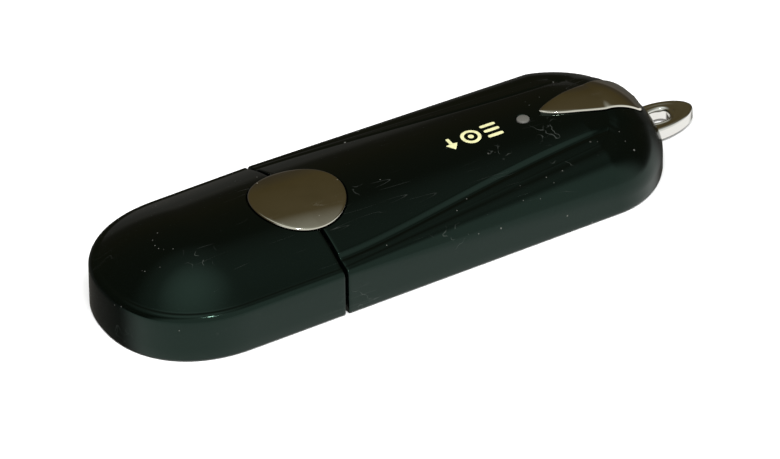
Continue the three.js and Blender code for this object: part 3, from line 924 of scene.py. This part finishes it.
@dataclass
class Trim:
    """A polished trim that lies in a bed in the skin."""

    name: str
    node: str
    body: Body
    envelope: Envelope
    line: Outline
    proud: float = 0.16 * MM
    swell: float = 0.08 * MM
    depth: float = 0.45 * MM
    rim: float = 0.16 * MM
    gap: float = 0.10 * MM
    half: float = 4.85 * MM

    def build(self) -> bpy.types.Object:
        """Returns the trim: a coin with a rounded rim and a gentle swell, following the skin."""
        rows = [(self.half, -self.depth), (0.1 * MM, -self.depth), (0.0, -self.depth + 0.1 * MM)]
        for step in range(6):
            angle = step / 5 * math.pi / 2
            rows.append((self.rim * (1 - math.cos(angle)), self.proud - self.rim * (1 - math.sin(angle))))
        for step in range(1, 25):
            share = step / 24
            height = self.proud + self.swell * (1 - (1 - share) ** 2)
            rows.append((self.rim + (self.half - self.rim) * share, height))
        table = [self.envelope.float_over(self.line.inset(np.full_like(self.line.x, d), self.half), h)
                 for d, h in rows]
        piece = Bench.weave(self.name, np.array(table))
        Bench.smooth(piece, 50.0)
        return piece

    def bed(self) -> bpy.types.Object:
        """Returns the tool that cuts the trim's bed, with a small chamfer at the skin."""
        rows = [(self.half, -0.62 * MM), (-self.gap, -0.62 * MM), (-self.gap, -0.12 * MM),
                (-self.gap - 0.09 * MM, 0.02 * MM), (-self.gap - 0.5 * MM, 0.6 * MM), (self.half, 1.4 * MM)]
        table = [self.envelope.float_over(self.line.inset(np.full_like(self.line.x, d), self.half), h)
                 for d, h in rows]
        return Bench.weave("bed", np.array(table))


@dataclass
class Shells:
    """The cap's and the housing's black mouldings."""

    envelope: Envelope
    badge: Trim
    petal: Trim
    seam_gap: float = 0.36 * MM
    lip: float = 0.13 * MM
    wall: float = 1.2 * MM
    floor: float = 1.0 * MM
    neck: float = 1.6 * MM
    fit_gap: float = 0.3 * MM
    plate_high: float = 1.15 * MM
    plug_low: Vector = field(default_factory=lambda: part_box("plug_shell")[0])
    plug_high: Vector = field(default_factory=lambda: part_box("plug_shell")[1])

    def channel(self, x_low: float, x_high: float, floor: float) -> bpy.types.Object:
        """Returns the tool that clears the plug's way.

        Args:
            x_low: Where it starts.
            x_high: Where it ends.
            floor: Height of its underside.

        Returns:
            The tool.
        """
        gap = self.fit_gap
        return Bench.block("channel", (x_low, self.plug_low.y - gap, floor),
                           (x_high, self.plug_high.y + gap, self.plug_high.z + gap), 0.35 * MM)

    def hollow(self, x: float, tail: bool, low: float) -> bpy.types.Object:
        """Returns the inside form of a thin-walled moulding, closed at x.

        Args:
            x: Where its open end lies.
            tail: Whether it fills the tail or the nose.
            low: Height of its underside.

        Returns:
            The form.
        """
        env = self.envelope
        line = env.outline(x, tail, -self.wall, 1.5 * MM, 20)
        form = Bench.weave("hollow", env.skin(line, -self.wall, low, env.shoulder_drop, 12, 4))
        Bench.close_rim(form, x)
        return form

    def cap(self) -> bpy.types.Object:
        """Returns the cap's shell: a domed moulding with a lip, ribs inside and half of the badge's bed."""
        env = self.envelope
        rim = env.seam_x - self.seam_gap / 2 - self.lip
        piece = Bench.weave("cap_moulding", env.skin(env.outline(rim, False)))
        high = float(env.crown(np.array(rim)))
        Bench.round_lip(piece, rim, 1.0, self.lip, (env.half_width, high / 2), high / 2)
        mouth = rim + self.lip
        space = self.hollow(mouth + 1 * MM, False, self.floor)
        for tool in self.ribs(mouth):
            Bench.merge(space, tool)
        Bench.merge(space, self.channel(self.plug_low.x - 1 * MM, mouth + 2 * MM, self.floor), "UNION")
        Bench.merge(piece, space)
        Bench.merge(piece, self.badge.bed())
        Bench.smooth(piece)
        return piece

    def ribs(self, mouth: float) -> list[bpy.types.Object]:
        """Returns the cap's inner ribs as blocks that its hollow leaves standing.

        Args:
            mouth: Where the cap's mouth lies.

        Returns:
            The blocks.
        """
        tip, top = self.plug_low.x, 9 * MM
        inner, outer, low = self.plug_high.y + self.fit_gap, 11 * MM, self.floor - 0.2 * MM
        blocks = []
        for side in (-1, 1):
            ys = sorted((side * inner, side * outer))
            for start in (tip - 1 * MM, mouth - 6.2 * MM):
                end = start + 1.2 * MM
                blocks.append(Bench.block("rib", (start, ys[0], low), (end, ys[1], top), 0.1 * MM))
            mid = side * 3.6 * MM
            blocks.append(Bench.block("rib", (tip + 1 * MM, mid - 0.5 * MM, self.plug_high.z + self.fit_gap),
                                      (mouth - 2.2 * MM, mid + 0.5 * MM, top), 0.1 * MM))
        return blocks

    def housing(self, eyelet_slot: bpy.types.Object, light_hole: bpy.types.Object) -> bpy.types.Object:
        """Returns the housing's cover with spine, shoulders, neck, beds and openings.

        Args:
            eyelet_slot: The tool that clears the eyelet's root.
            light_hole: The tool that clears the light pipe.
        """
        env = self.envelope
        rim = env.seam_x + self.seam_gap / 2 + self.lip
        face = rim - self.lip
        piece = Bench.weave("housing_cover", env.skin(env.outline(rim, True), dome_rows=92, relief=True))
        high = float(env.crown(np.array(rim)))
        Bench.round_lip(piece, rim, -1.0, self.lip, (env.half_width, high / 2), high / 2)
        room = self.hollow(face + 1.4 * MM, True, -1 * MM)
        Bench.cut_off(room, (env.at(25.8 * MM), 0, 0), (1, 0, 0))
        Bench.merge(piece, room)
        Bench.merge(piece, self.collar(face), "UNION")
        Bench.merge(piece, self.channel(face - 5 * MM, self.plug_high.x + self.fit_gap, -2 * MM))
        Bench.merge(piece, self.plate_seat(face))
        for tool in (eyelet_slot, light_hole, self.badge.bed(), self.petal.bed()):
            Bench.merge(piece, tool)
        Bench.smooth(piece)
        return piece

    def collar(self, face: float) -> bpy.types.Object:
        """Returns the collar that enters the cap's mouth, which the plug's channel then parts in two.

        Args:
            face: Where the housing's end face lies.

        Returns:
            The collar.
        """
        env, tuck = self.envelope, self.wall + 0.35 * MM
        start, lip = face - self.neck + self.lip, self.lip
        sides = [env.straight(start, face + 1 * MM, 8, tuck - env.half_width),
                 env.straight(face + 1 * MM, start, 8, env.half_width - tuck)]
        line = Outline(*(np.concatenate([getattr(s, k) for s in sides]) for k in ("x", "y", "foot")))
        low = 1.7 * MM
        piece = Bench.weave("collar", env.skin(line, -tuck, low, env.shoulder_drop, 30, 4))
        high = float(env.crown(np.array(start))) - tuck - env.shoulder_drop
        Bench.round_lip(piece, start, -1.0, lip, (env.half_width - tuck, (high - low) / 2), (high + low) / 2)
        return piece

    def plate(self, name: str, face: float, tuck: float, low: float, high: float) -> bpy.types.Object:
        """Returns a flat plate with the plan of the housing's underside.

        Args:
            name: The piece's name.
            face: Where its straight front edge lies.
            tuck: How far it lies inside the outline.
            low: Height of its underside.
            high: Height of its top.
        """
        env = self.envelope
        line = env.outline(face, True, -tuck, 1.0 * MM, 48)
        half, edge = env.half_width - tuck, 0.12 * MM
        level = np.zeros_like(line.x)
        rows = [(half, low), (edge, low), (edge * 0.3, low + edge * 0.3), (0.0, low + edge),
                (0.0, high), (half, high)]
        table = [np.stack([(p := line.inset(level + d, half)).x, p.y, level + z], axis=1) for d, z in rows]
        piece = Bench.weave(name, np.array(table))
        Bench.close_rim(piece, face)
        return piece

    def eyelet_block(self, spread: float) -> bpy.types.Object:
        """Returns the part of the tail that holds the eyelet's root.

        Args:
            spread: How far it stands out of the eyelet's own box.

        Returns:
            The block.
        """
        low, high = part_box("lanyard_loop")
        return Bench.block("block", (low.x - spread, low.y - spread, -4 * MM),
                           (high.x + 9 * MM, high.y + spread, 5 * MM))

    def plate_seat(self, face: float) -> bpy.types.Object:
        """Returns the tool that opens the cover's underside for the base plate.

        Args:
            face: Where the housing's end face lies.

        Returns:
            The tool.
        """
        seat = self.plate("seat", face - 1 * MM, self.wall, -1.5 * MM, self.plate_high + self.fit_gap)
        Bench.merge(seat, self.eyelet_block(self.fit_gap))
        return seat

    def base(self) -> bpy.types.Object:
        """Returns the base plate with its two board ribs."""
        face = self.envelope.seam_x + self.seam_gap / 2
        piece = self.plate("base_panel", face, self.wall + 0.14 * MM, 0.0, self.plate_high)
        Bench.merge(piece, self.eyelet_block(2 * self.fit_gap))
        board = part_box("circuit_board")
        for x in (8.5 * MM, 22.5 * MM):
            low = self.envelope.at(x)
            Bench.merge(piece, Bench.block("rib", (low, board[0].y + 0.6 * MM, 0.5 * MM),
                                           (low + 0.9 * MM, board[1].y - 0.6 * MM, board[0].z - 0.05 * MM),
                                           0.12 * MM), "UNION")
        Bench.smooth(piece)
        return piece


@dataclass
class Eyelet:
    """The cast lanyard eyelet in the tail."""

    envelope: Envelope
    root: float = 28.2 * MM
    bend: float = 31.6 * MM
    tip: float = 36.0 * MM
    half: float = 2.2 * MM
    low: float = 0.25 * MM
    high: float = 1.7 * MM
    hole_middle: float = 32.1 * MM
    hole_reach: float = 1.25 * MM
    hole_half: float = 0.9 * MM
    edge: float = 0.32 * MM

    def outer(self, count: int = 96) -> Outline:
        """The outer outline, as a closed loop that starts at the root's middle.

        Args:
            count: Steps round the loop.

        Returns:
            The loop.
        """
        turn = np.linspace(0, 2 * math.pi, count + 1) + math.pi
        side, ahead = np.sin(turn), np.cos(turn)
        front = self.envelope.at(self.bend) + (self.tip - self.bend) * np.abs(ahead) ** (2 / 1.85)
        back = self.envelope.at(self.bend) - (self.bend - self.root) * np.minimum(np.abs(ahead) * 1.6, 1.0)
        pointed, blunt = np.abs(side) ** (2 / 1.85), np.minimum(np.abs(side) * 1.3, 1.0)
        width = np.sign(side) * np.where(ahead > 0, pointed, blunt)
        x = np.where(ahead > 0, front, back)
        return Outline(x, self.half * width, np.full_like(x, self.envelope.at(self.hole_middle)))

    def inner(self, count: int = 96) -> Outline:
        """The hole's outline, point by point with the outer one.

        Args:
            count: Steps round the loop.

        Returns:
            The loop.
        """
        turn = np.linspace(0, 2 * math.pi, count + 1) + math.pi
        ahead = np.sign(np.cos(turn)) * np.abs(np.cos(turn)) ** 0.85
        side = np.sign(np.sin(turn)) * np.abs(np.sin(turn)) ** 0.85
        x = self.envelope.at(self.hole_middle) + self.hole_reach * ahead
        return Outline(x, self.hole_half * side, x.copy())

    def build(self) -> bpy.types.Object:
        """Returns the eyelet: rounded outside and inside, its top dished a little round the hole."""
        outer, inner = self.outer(), self.inner()
        rows: list[tuple[float, float, float]] = []
        for step in range(5):
            angle = step / 4 * math.pi / 2
            tuck, sink = self.edge * (1 - math.cos(angle)), self.edge * (1 - math.sin(angle))
            rows.append((0.0, tuck, self.high - sink))
        for share in (0.25, 0.5, 0.75):
            rows.append((share, self.edge, self.high - 0.1 * MM * math.sin(share * math.pi)))
        for step in range(5):
            angle = step / 4 * math.pi / 2
            tuck, sink = self.edge * (1 - math.sin(angle)), self.edge * (1 - math.cos(angle))
            rows.append((1.0, -tuck, self.high - sink))
        rows += [(1.0, 0.0, self.low + 0.2 * MM), (1.0, -0.2 * MM, self.low), (0.5, 0.0, self.low),
                 (0.0, 0.2 * MM, self.low), (0.0, 0.0, self.low + 0.2 * MM), rows[0]]
        table = []
        for share, tuck, z in rows:
            near = outer.inset(np.full_like(outer.x, tuck if share < 1 else 0.0), self.half)
            spread = 1 - (tuck if share == 1 else 0.0) / self.hole_half
            hx = self.envelope.at(self.hole_middle) + (inner.x - self.envelope.at(self.hole_middle)) * spread
            hy = inner.y * spread
            table.append(np.stack([near.x + (hx - near.x) * share, near.y + (hy - near.y) * share,
                                   np.full_like(hx, z)], axis=1))
        piece = Bench.weave("eyelet", np.array(table))
        Bench.smooth(piece, 60.0)
        return piece

    def bar(self) -> bpy.types.Object:
        """Returns the cross bar that holds the eyelet in the tail."""
        low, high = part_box("lanyard_loop")
        return Bench.block("bar", (low.x, low.y, self.low), (low.x + 1.5 * MM, high.y, self.high), 0.12 * MM)

    def slot(self) -> bpy.types.Object:
        """Returns the tool that clears the eyelet's root and cross bar."""
        low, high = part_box("lanyard_loop")
        gap = 0.16 * MM
        tool = Bench.block("slot", (low.x - gap, low.y - gap, -2 * MM),
                           (low.x + 1.5 * MM + gap, high.y + gap, self.high + gap))
        shaft = Bench.block("shaft", (low.x, -self.half - gap, -2 * MM), (high.x + 2 * MM, self.half + gap,
                                                                          self.high + gap))
        Bench.merge(tool, shaft, "UNION")
        return tool


@dataclass
class Light:
    """The activity light: a clear pipe that ends in a small dome."""

    envelope: Envelope
    x: float = 16.65 * MM
    radius: float = 0.65 * MM
    dome: float = 0.14 * MM

    def top(self) -> float:
        """Height of the skin over the light."""
        return float(self.envelope.surface(np.array(self.envelope.at(self.x)), np.array(0.0)))

    def hole(self) -> bpy.types.Object:
        """Returns the tool that clears the pipe, with a small chamfer at the skin."""
        top = self.top()
        profile = [(0.06 * MM, top - 0.08 * MM), (0.16 * MM, top + 0.02 * MM), (0.3 * MM, top + 1 * MM)]
        return self.turned("hole", 2 * MM, profile)

    def turned(self, name: str, low: float, profile: Sequence[tuple[float, float]]) -> bpy.types.Object:
        """Extrudes a disc upwards through a list of (growth of radius, height).

        Args:
            name: The piece's name.
            low: Height of the disc.
            profile: Growth of the radius and height, ring by ring.

        Returns:
            The turned piece.
        """
        Bench.clear()
        x = self.envelope.at(self.x)
        bpy.ops.mesh.primitive_circle_add(vertices=48, radius=self.radius + profile[0][0], fill_type="NGON",
                                          location=(x, 0, low))
        piece = bpy.context.object
        piece.name = piece.data.name = name
        bpy.ops.object.transform_apply(location=True, rotation=True, scale=True)
        bpy.ops.object.mode_set(mode="EDIT")
        bpy.ops.mesh.select_all(action="SELECT")
        last_grow, last_z = profile[0][0], low
        for grow, z in profile:
            bpy.ops.mesh.extrude_region_move(TRANSFORM_OT_translate={"value": (0, 0, z - last_z)})
            ratio = (self.radius + grow) / (self.radius + last_grow)
            bpy.ops.transform.resize(value=(ratio, ratio, 1), center_override=(x, 0, z))
            last_grow, last_z = grow, z
        bpy.ops.mesh.select_all(action="SELECT")
        bpy.ops.mesh.normals_make_consistent(inside=False)
        bpy.ops.object.mode_set(mode="OBJECT")
        return piece

    def pipe(self) -> bpy.types.Object:
        """Returns the pipe with its domed end."""
        low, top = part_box("light_pipe")[0].z, self.top() - 0.03 * MM
        rings = [(0.0, top)]
        for step in range(1, 7):
            angle = step / 6.3 * math.pi / 2
            rings.append((self.radius * (math.cos(angle) - 1), top + self.dome * math.sin(angle)))
        piece = self.turned("light_lens", low, rings)
        Bench.smooth(piece, 40.0)
        return piece


@dataclass
class Plug:
    """The stamped shell of the plug."""

    sheet: float = 0.3 * MM
    corner: float = 0.55 * MM
    window: tuple = (6.2 * MM, 3.0 * MM, 2.2 * MM, 2.5 * MM)

    def build(self) -> bpy.types.Object:
        """Returns the shell: a folded tube with latch windows, a seam below and ears at its back."""
        low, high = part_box("plug_shell")
        back = low.x + 18.8 * MM
        piece = Bench.block("plug_sleeve", low, (back, high.y, high.z))
        Bench.pick_edges(piece, lambda e: abs(e.verts[0].co.x - e.verts[1].co.x) > 1 * MM)
        bpy.ops.mesh.bevel(offset=self.corner, segments=6, affect="EDGES")
        bpy.ops.mesh.select_mode(type="FACE")
        bpy.ops.mesh.select_all(action="DESELECT")
        mesh = bmesh.from_edit_mesh(piece.data)
        mesh.normal_update()
        for face in mesh.faces:
            face.select_set(abs(face.normal.x) > 0.9)
        bmesh.update_edit_mesh(piece.data)
        bpy.ops.mesh.delete(type="FACE")
        bpy.ops.object.mode_set(mode="OBJECT")
        wall = piece.modifiers.new("sheet", "SOLIDIFY")
        wall.thickness, wall.offset = self.sheet, -1.0
        bpy.ops.object.modifier_apply(modifier=wall.name)
        ahead, aside, long, wide = self.window
        for side in (-1, 1):
            middle = side * aside
            tool = Bench.block("window", (low.x + ahead, middle - wide / 2, -1 * MM),
                               (low.x + ahead + long, middle + wide / 2, 9 * MM), 0.2 * MM)
            Bench.merge(piece, tool)
        seam = Bench.block("seam", (low.x - 1 * MM, -0.03 * MM, low.z - 1 * MM),
                           (back + 1 * MM, 0.03 * MM, low.z + 0.12 * MM))
        Bench.merge(piece, seam)
        for side in (-1, 1):
            ys = sorted((side * high.y, side * (high.y - self.sheet)))
            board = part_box("circuit_board")
            ear = Bench.block("ear", (back - 0.5 * MM, ys[0], board[0].z - 0.5 * MM),
                              (high.x, ys[1], board[1].z + 0.5 * MM), 0.05 * MM)
            Bench.merge(piece, ear, "UNION")
        self.ease(piece, low.x)
        Bench.smooth(piece, 30.0)
        return piece

    def ease(self, piece: bpy.types.Object, mouth: float) -> None:
        """Breaks the sharp edges at the plug's mouth.

        Args:
            piece: The folded shell.
            mouth: Where its mouth lies.
        """
        Bench.pick_edges(piece, lambda e: all(abs(v.co.x - mouth) < 1e-6 for v in e.verts)
                         and e.is_manifold and e.calc_face_angle(0) > 1.2)
        bpy.ops.mesh.bevel(offset=0.09 * MM, segments=3, affect="EDGES")
        bpy.ops.object.mode_set(mode="OBJECT")


@dataclass
class PrintedMark:
    """A generic transfer mark in place of lettering: an arrow, a ringed dot and a stack of bars."""

    envelope: Envelope
    x: float = 7.8 * MM
    height: float = 2.1 * MM
    stroke: float = 0.36 * MM
    lift: float = 0.012 * MM

    def patch(self, name: str, outer: Array, inner: Array) -> bpy.types.Object:
        """Returns a thin ink ring between two closed loops, laid on the skin.

        Args:
            name: The patch's name.
            outer: Outer loop, points x 2.
            inner: Inner loop, points x 2, a single place for a filled patch.
        """
        rows = []
        for share, z in ((0.0, 0.002 * MM), (0.03, self.lift), (0.35, self.lift), (0.7, self.lift),
                         (0.97, self.lift), (1.0, 0.002 * MM), (0.5, -0.004 * MM), (0.0, 0.002 * MM)):
            flat = outer + (inner - outer) * share
            x, y = flat[:, 0], flat[:, 1]
            rows.append(self.envelope.float_over(Outline(x, y, x), z))
        piece = Bench.weave(name, np.array(rows))
        Bench.smooth(piece, 40.0)
        return piece

    def bar(self, x: float, y: float, width: float, height: float,
            corner: float = 4.0) -> tuple[Array, Array]:
        """Outer loop and middle of a filled bar with rounded corners.

        Args:
            x: Its middle along the drive.
            y: Its middle across it.
            width: Its size along the drive.
            height: Its size across it.
            corner: 2 for an ellipse, more for squarer corners.

        Returns:
            The outer loop, and the line that it closes on.
        """
        turn = np.linspace(0, 2 * math.pi, 49)
        power = 2 / corner
        px = x + width / 2 * np.sign(np.cos(turn)) * np.abs(np.cos(turn)) ** power
        py = y + height / 2 * np.sign(np.sin(turn)) * np.abs(np.sin(turn)) ** power
        loop = np.stack([px, py], axis=1)
        keep = np.array([max(1 - height / width, 0.0), 0.0])
        return loop, np.array([x, y]) + (loop - np.array([x, y])) * keep

    def build(self) -> bpy.types.Object:
        """Returns the whole mark as one piece."""
        env, high, stroke = self.envelope, self.height, self.stroke
        x = env.at(self.x)
        loops = [self.bar(x + 0.6 * MM, 0.2 * MM, stroke, high - 0.9 * MM, 6.0)]
        turn = np.linspace(0, 2 * math.pi, 49) - math.pi / 2
        wedge = np.array([self.wedge(t, 0.72 * MM, 0.95 * MM) for t in turn])
        tip = np.array([x + 0.6 * MM, -high / 2])
        loops.append((wedge + tip, np.zeros_like(wedge) + tip + (0.0, 0.6 * MM)))
        ring = np.stack([np.cos(turn), np.sin(turn)], axis=1)
        middle = np.array([x + 2.9 * MM, 0.0])
        loops.append((middle + ring * high / 2, middle + ring * (high / 2 - stroke)))
        loops.append((middle + ring * 0.3 * MM, middle + ring * 0.0))
        for row in (-1, 0, 1):
            y = row * (high - stroke * 1.1) / 2
            loops.append(self.bar(x + 5.25 * MM, y, 1.7 * MM, stroke * 1.15, 5.0))
        parts = [self.patch(f"ink_{i}", *pair) for i, pair in enumerate(loops)]
        Bench.clear()
        for part in parts:
            part.select_set(True)
        bpy.context.view_layer.objects.active = parts[0]
        bpy.ops.object.join()
        piece = bpy.context.object
        piece.name = piece.data.name = "transfer_mark"
        return piece

    @staticmethod
    def wedge(turn: float, half: float, tall: float) -> tuple[float, float]:
        """A point on a down-pointing triangle with soft corners, its tip at the origin.

        Args:
            turn: Angle round the triangle.
            half: Half its width.
            tall: Its height.

        Returns:
            The point.
        """
        side, up = math.cos(turn), math.sin(turn)
        y = tall * (up + 1) / 2
        width = half * (y / tall) ** 0.92
        lid = min(1.0, max(0.0, (1 - up) * 6))
        return (math.copysign(min(abs(side) * 3.0, 1.0), side) * width * (lid if up > 0.8 else 1.0), y)


@dataclass
class Studio:
    """Camera, floor and soft light."""

    envelope: Envelope
    azimuth: float = -29.65
    elevation: float = 37.96
    roll: float = -0.84
    distance: float = 1.5
    lens: float = 704.08
    aim: tuple = (1.192 * MM, -0.378 * MM, 0.0)
    sensor: float = 36.0
    floor_tone: tuple = (0.86, 0.86, 0.87)
    backdrop: tuple = (0.93, 0.93, 0.94, 1.0)
    window: tuple = (0.85, 0.88, 0.84, 1.0)
    table_near: tuple = (1.15, 1.15, 1.13, 1.0)
    table_far: tuple = (0.1, 0.095, 0.085, 1.0)
    tones: tuple = ((0.0, (0.12, 0.11, 0.095, 1.0)), (0.1, (0.05, 0.042, 0.028, 1.0)),
                    (0.35, (0.07, 0.055, 0.024, 1.0)), (0.8, (0.085, 0.07, 0.036, 1.0)),
                    (0.93, (0.34, 0.35, 0.31, 1.0)), (1.0, (1.1, 1.15, 1.1, 1.0)))

    def camera(self) -> None:
        """Sets up the camera at a long lens, so that lines stay nearly parallel."""
        a, e = math.radians(self.azimuth), math.radians(self.elevation)
        back = Vector((math.sin(a) * math.cos(e), -math.cos(a) * math.cos(e), math.sin(e)))
        data = bpy.data.cameras.new("camera")
        data.sensor_width = self.sensor
        data.lens = self.lens
        eye = bpy.data.objects.new("camera", data)
        bpy.context.scene.collection.objects.link(eye)
        aim = Vector((self.envelope.at(self.aim[0]), *self.aim[1:]))
        eye.location = aim + back * self.distance
        turn = (-back).to_track_quat("-Z", "Y").to_matrix().to_4x4()
        eye.rotation_mode = "QUATERNION"
        eye.rotation_quaternion = (turn @ Matrix.Rotation(math.radians(self.roll), 4, "Z")).to_quaternion()
        bpy.context.scene.camera = eye

    def floor(self) -> None:
        """Adds the pale floor."""
        Bench.clear()
        bpy.ops.mesh.primitive_plane_add(size=8.0)
        sheet = bpy.context.object
        sheet.name = sheet.data.name = "studio_floor"
        m = NodeMaker("studio_floor")
        m.set(Base_Color=colour(*self.floor_tone), Roughness=0.9, Specular_IOR_Level=0.1)
        sheet.data.materials.append(m.material)
        sheet.visible_glossy = False

    def lamp(self, name: str, azimuth: float, elevation: float, distance: float, size: float,
             watts: float) -> bpy.types.Object:
        """Adds a round soft lamp that faces the drive.

        Args:
            name: The lamp's name.
            azimuth: Degrees from the drive's near side, towards +X.
            elevation: Degrees over the floor.
            distance: How far away it stands.
            size: Its diameter.
            watts: Its power.

        Returns:
            The lamp.
        """
        a, e = math.radians(azimuth), math.radians(elevation)
        way = Vector((math.sin(a) * math.cos(e), -math.cos(a) * math.cos(e), math.sin(e)))
        data = bpy.data.lights.new(name, "AREA")
        data.shape, data.size, data.energy = "DISK", size, watts
        light = bpy.data.objects.new(name, data)
        bpy.context.scene.collection.objects.link(light)
        light.location = way * distance
        light.rotation_mode = "QUATERNION"
        light.rotation_quaternion = (-way).to_track_quat("-Z", "Y")
        return light

    def sky(self) -> None:
        """Sets the room that the gloss reflects: dim behind the drive, bright overhead and before it."""
        world = bpy.data.worlds.new("room")
        bpy.context.scene.world = world
        world.use_nodes = True
        m = Nodes(world.node_tree, "Generated")
        up, ahead = m.axis("Z"), 0 - m.axis("Y")
        overhead = m.add("ShaderNodeValToRGB", {"stops": self.tones}, {0: up})
        room = m.blend(ahead.rise(0.2, 0.6), overhead, self.window)
        table = m.blend(ahead.rise(-0.45, 0.1), self.table_far, self.table_near)
        tone = m.add("ShaderNodeBackground", {}, {0: m.blend((0 - up).rise(0.0, 0.06), room, table)})
        plain = m.add("ShaderNodeBackground", {}, {0: self.backdrop})
        seen = m.add("ShaderNodeLightPath", {}, {}, "Is Camera Ray")
        either = m.add("ShaderNodeMixShader", {}, {0: seen, 1: tone, 2: plain})
        output = m.tree.nodes.new("ShaderNodeOutputWorld")
        m.tree.links.new(either.socket, output.inputs[0])

    def build(self) -> None:
        """Sets up everything that isn't the object."""
        self.camera()
        self.floor()
        self.sky()
        self.lamp("key", -2.0, 62.0, 0.9, 0.07, 1.6)
        for azimuth in (-75.0, -10.0):
            self.lamp("soft", azimuth, 66.0, 0.9, 0.5, 6.0).visible_glossy = False
        bpy.context.scene.view_settings.view_transform = "Standard"


@dataclass
class Drive:
    """The whole flash drive."""

    envelope: Envelope

    def petal_line(self, count: int = 60) -> Outline:
        """Plan of the tail trim: a pointed petal with a squared, rounded end.

        Args:
            count: Steps along each side.

        Returns:
            The closed outline, its feet on the centre line.
        """
        env, tip, end, half = self.envelope, 18.5 * MM, 29.4 * MM, 2.5 * MM
        run = np.linspace(0, 1, count + 1) ** 1.5
        x = tip + (end - tip) * run
        width = half * (1 - (1 - np.minimum(run / 0.9, 1.0)) ** 1.9) ** 0.72
        close = np.sqrt(np.maximum(1 - ramp01((run - 0.9) / 0.1) ** 2.6, 0.0))
        y = width * close
        foot = np.minimum(x, end - 1.6 * MM)
        loop_x = env.at(np.concatenate([x, x[-2::-1]]))
        loop_foot = env.at(np.concatenate([foot, foot[-2::-1]]))
        return Outline(loop_x, np.concatenate([-y, y[-2::-1]]), loop_foot)

    def badge_line(self, count: int = 144) -> Outline:
        """Plan of the round badge.

        Args:
            count: Steps round the badge.

        Returns:
            The closed outline, its feet at the middle.
        """
        turn = np.linspace(0, 2 * math.pi, count + 1)
        x = self.envelope.at(-9.0 * MM)
        return Outline(x + 4.85 * MM * np.cos(turn), 4.85 * MM * np.sin(turn), np.full_like(turn, x))

    def build(self) -> None:
        """Builds, dresses and hangs every piece."""
        env = self.envelope
        badge = Trim("badge_disc", "cap_badge", Body.CAP, env, self.badge_line())
        petal = Trim("tail_petal", "tail_inlay", Body.HOUSING, env, self.petal_line(), half=2.5 * MM,
                     swell=0.08 * MM, proud=0.24 * MM, rim=0.22 * MM)
        scuffs = tuple((env.at(x * MM), y * MM, z * MM, s * MM) for x, y, z, s in (
            (-21.7, -3.2, 8.0, 2.0), (-18.0, -8.8, 6.6, 1.2), (18.0, -2.7, 7.2, 2.2), (17.3, -6.8, 6.5, 1.6),
            (-8.0, -10.0, 1.6, 2.2), (2.5, -10.0, 4.7, 2.4), (12.0, -3.4, 7.2, 1.4), (-3.0, -2.0, 8.0, 1.0)))
        gloss = BlackGloss(scuffs=scuffs).make()
        trim_metal = Polished().make()
        shells, eyelet, light = Shells(env, badge, petal), Eyelet(env), Light(env)
        fit(shells.cap(), gloss, Body.CAP, ["cap_shell"])
        fit(shells.housing(eyelet.slot(), light.hole()), gloss, Body.HOUSING, ["top_cover"])
        fit(shells.base(), BlackSatin().make(), Body.HOUSING, ["base_plate"])
        for trim in (badge, petal):
            fit(trim.build(), trim_metal, trim.body, [trim.node])
        ring = eyelet.build()
        Bench.merge(ring, eyelet.bar(), "UNION")
        Bench.smooth(ring, 40.0)
        cast = Polished("polished_metal", (0.72, 0.71, 0.68), 0.07, 0.6).make()
        fit(ring, cast, Body.HOUSING, ["lanyard_loop"])
        lens = Moulded("clear_acrylic", (0.1, 0.098, 0.09), 0.2, 0.6).make()
        fit(light.pipe(), lens, Body.HOUSING, ["light_pipe"])
        fit(Plug().build(), BrushedSteel().make(), Body.HOUSING, ["plug_shell"])
        fit(PrintedMark(env).build(), Ink().make(), Body.HOUSING)
        self.dress_inside()

    def dress_inside(self) -> None:
        """Gives the CAD nodes that stay their finishes."""
        gold = Gold().make()
        finishes: dict[str, bpy.types.Material] = {
            "plug_insulator": Moulded("plug_plastic", (0.78, 0.78, 0.74), 0.38).make(),
            "circuit_board": BoardMask().make(),
            "crystal": BrushedSteel("can_steel", (0.68, 0.68, 0.66)).make(),
            "status_led": self.component("status_led", (0.8, 0.79, 0.7), (9.0, 0.5)).make(),
        }
        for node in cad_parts:
            if node.startswith("contact"):
                finishes[node] = gold
            elif node.startswith("capacitor"):
                finishes[node] = self.component(node, (0.32, 0.2, 0.11), (0.5, 9.0)).make()
            elif node.startswith("resistor"):
                finishes[node] = self.component(node, (0.02, 0.02, 0.022), (0.5, 9.0)).make()
        resin = (0.022, 0.022, 0.024)
        finishes["flash_chip"] = self.component("flash_chip", resin, (8.0, 9.0)).make()
        finishes["controller_chip"] = self.component("controller_chip", resin, (3.5, 3.5)).make()
        for name, material in finishes.items():
            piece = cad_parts[name]
            piece.data.materials.clear()
            piece.data.materials.append(material)
            LOG.info("%s: dressed with %s", name, material.name)

    def component(self, node: str, tint: tuple, reach: tuple) -> Component:
        """Makes a component's finish, its metal starting at a reach from the node's middle.

        Args:
            node: The CAD node.
            tint: Its body's colour.
            reach: Where the metal starts along X and Y, in millimetres.

        Returns:
            The finish.
        """
        low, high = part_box(node)
        middle = ((low.x + high.x) / 2, (low.y + high.y) / 2)
        return Component(f"finish_{node}", tint, middle, tuple(r * MM for r in reach))


def main() -> None:
    """Builds the drive and the studio."""
    logging.basicConfig(level=logging.INFO, format="%(message)s")
    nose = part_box("cap_shell")[0].x
    envelope = Envelope()
    envelope.shift = nose + envelope.length / 2
    Drive(envelope).build()
    Studio(envelope).build()


if __name__ == "__main__":
    main()
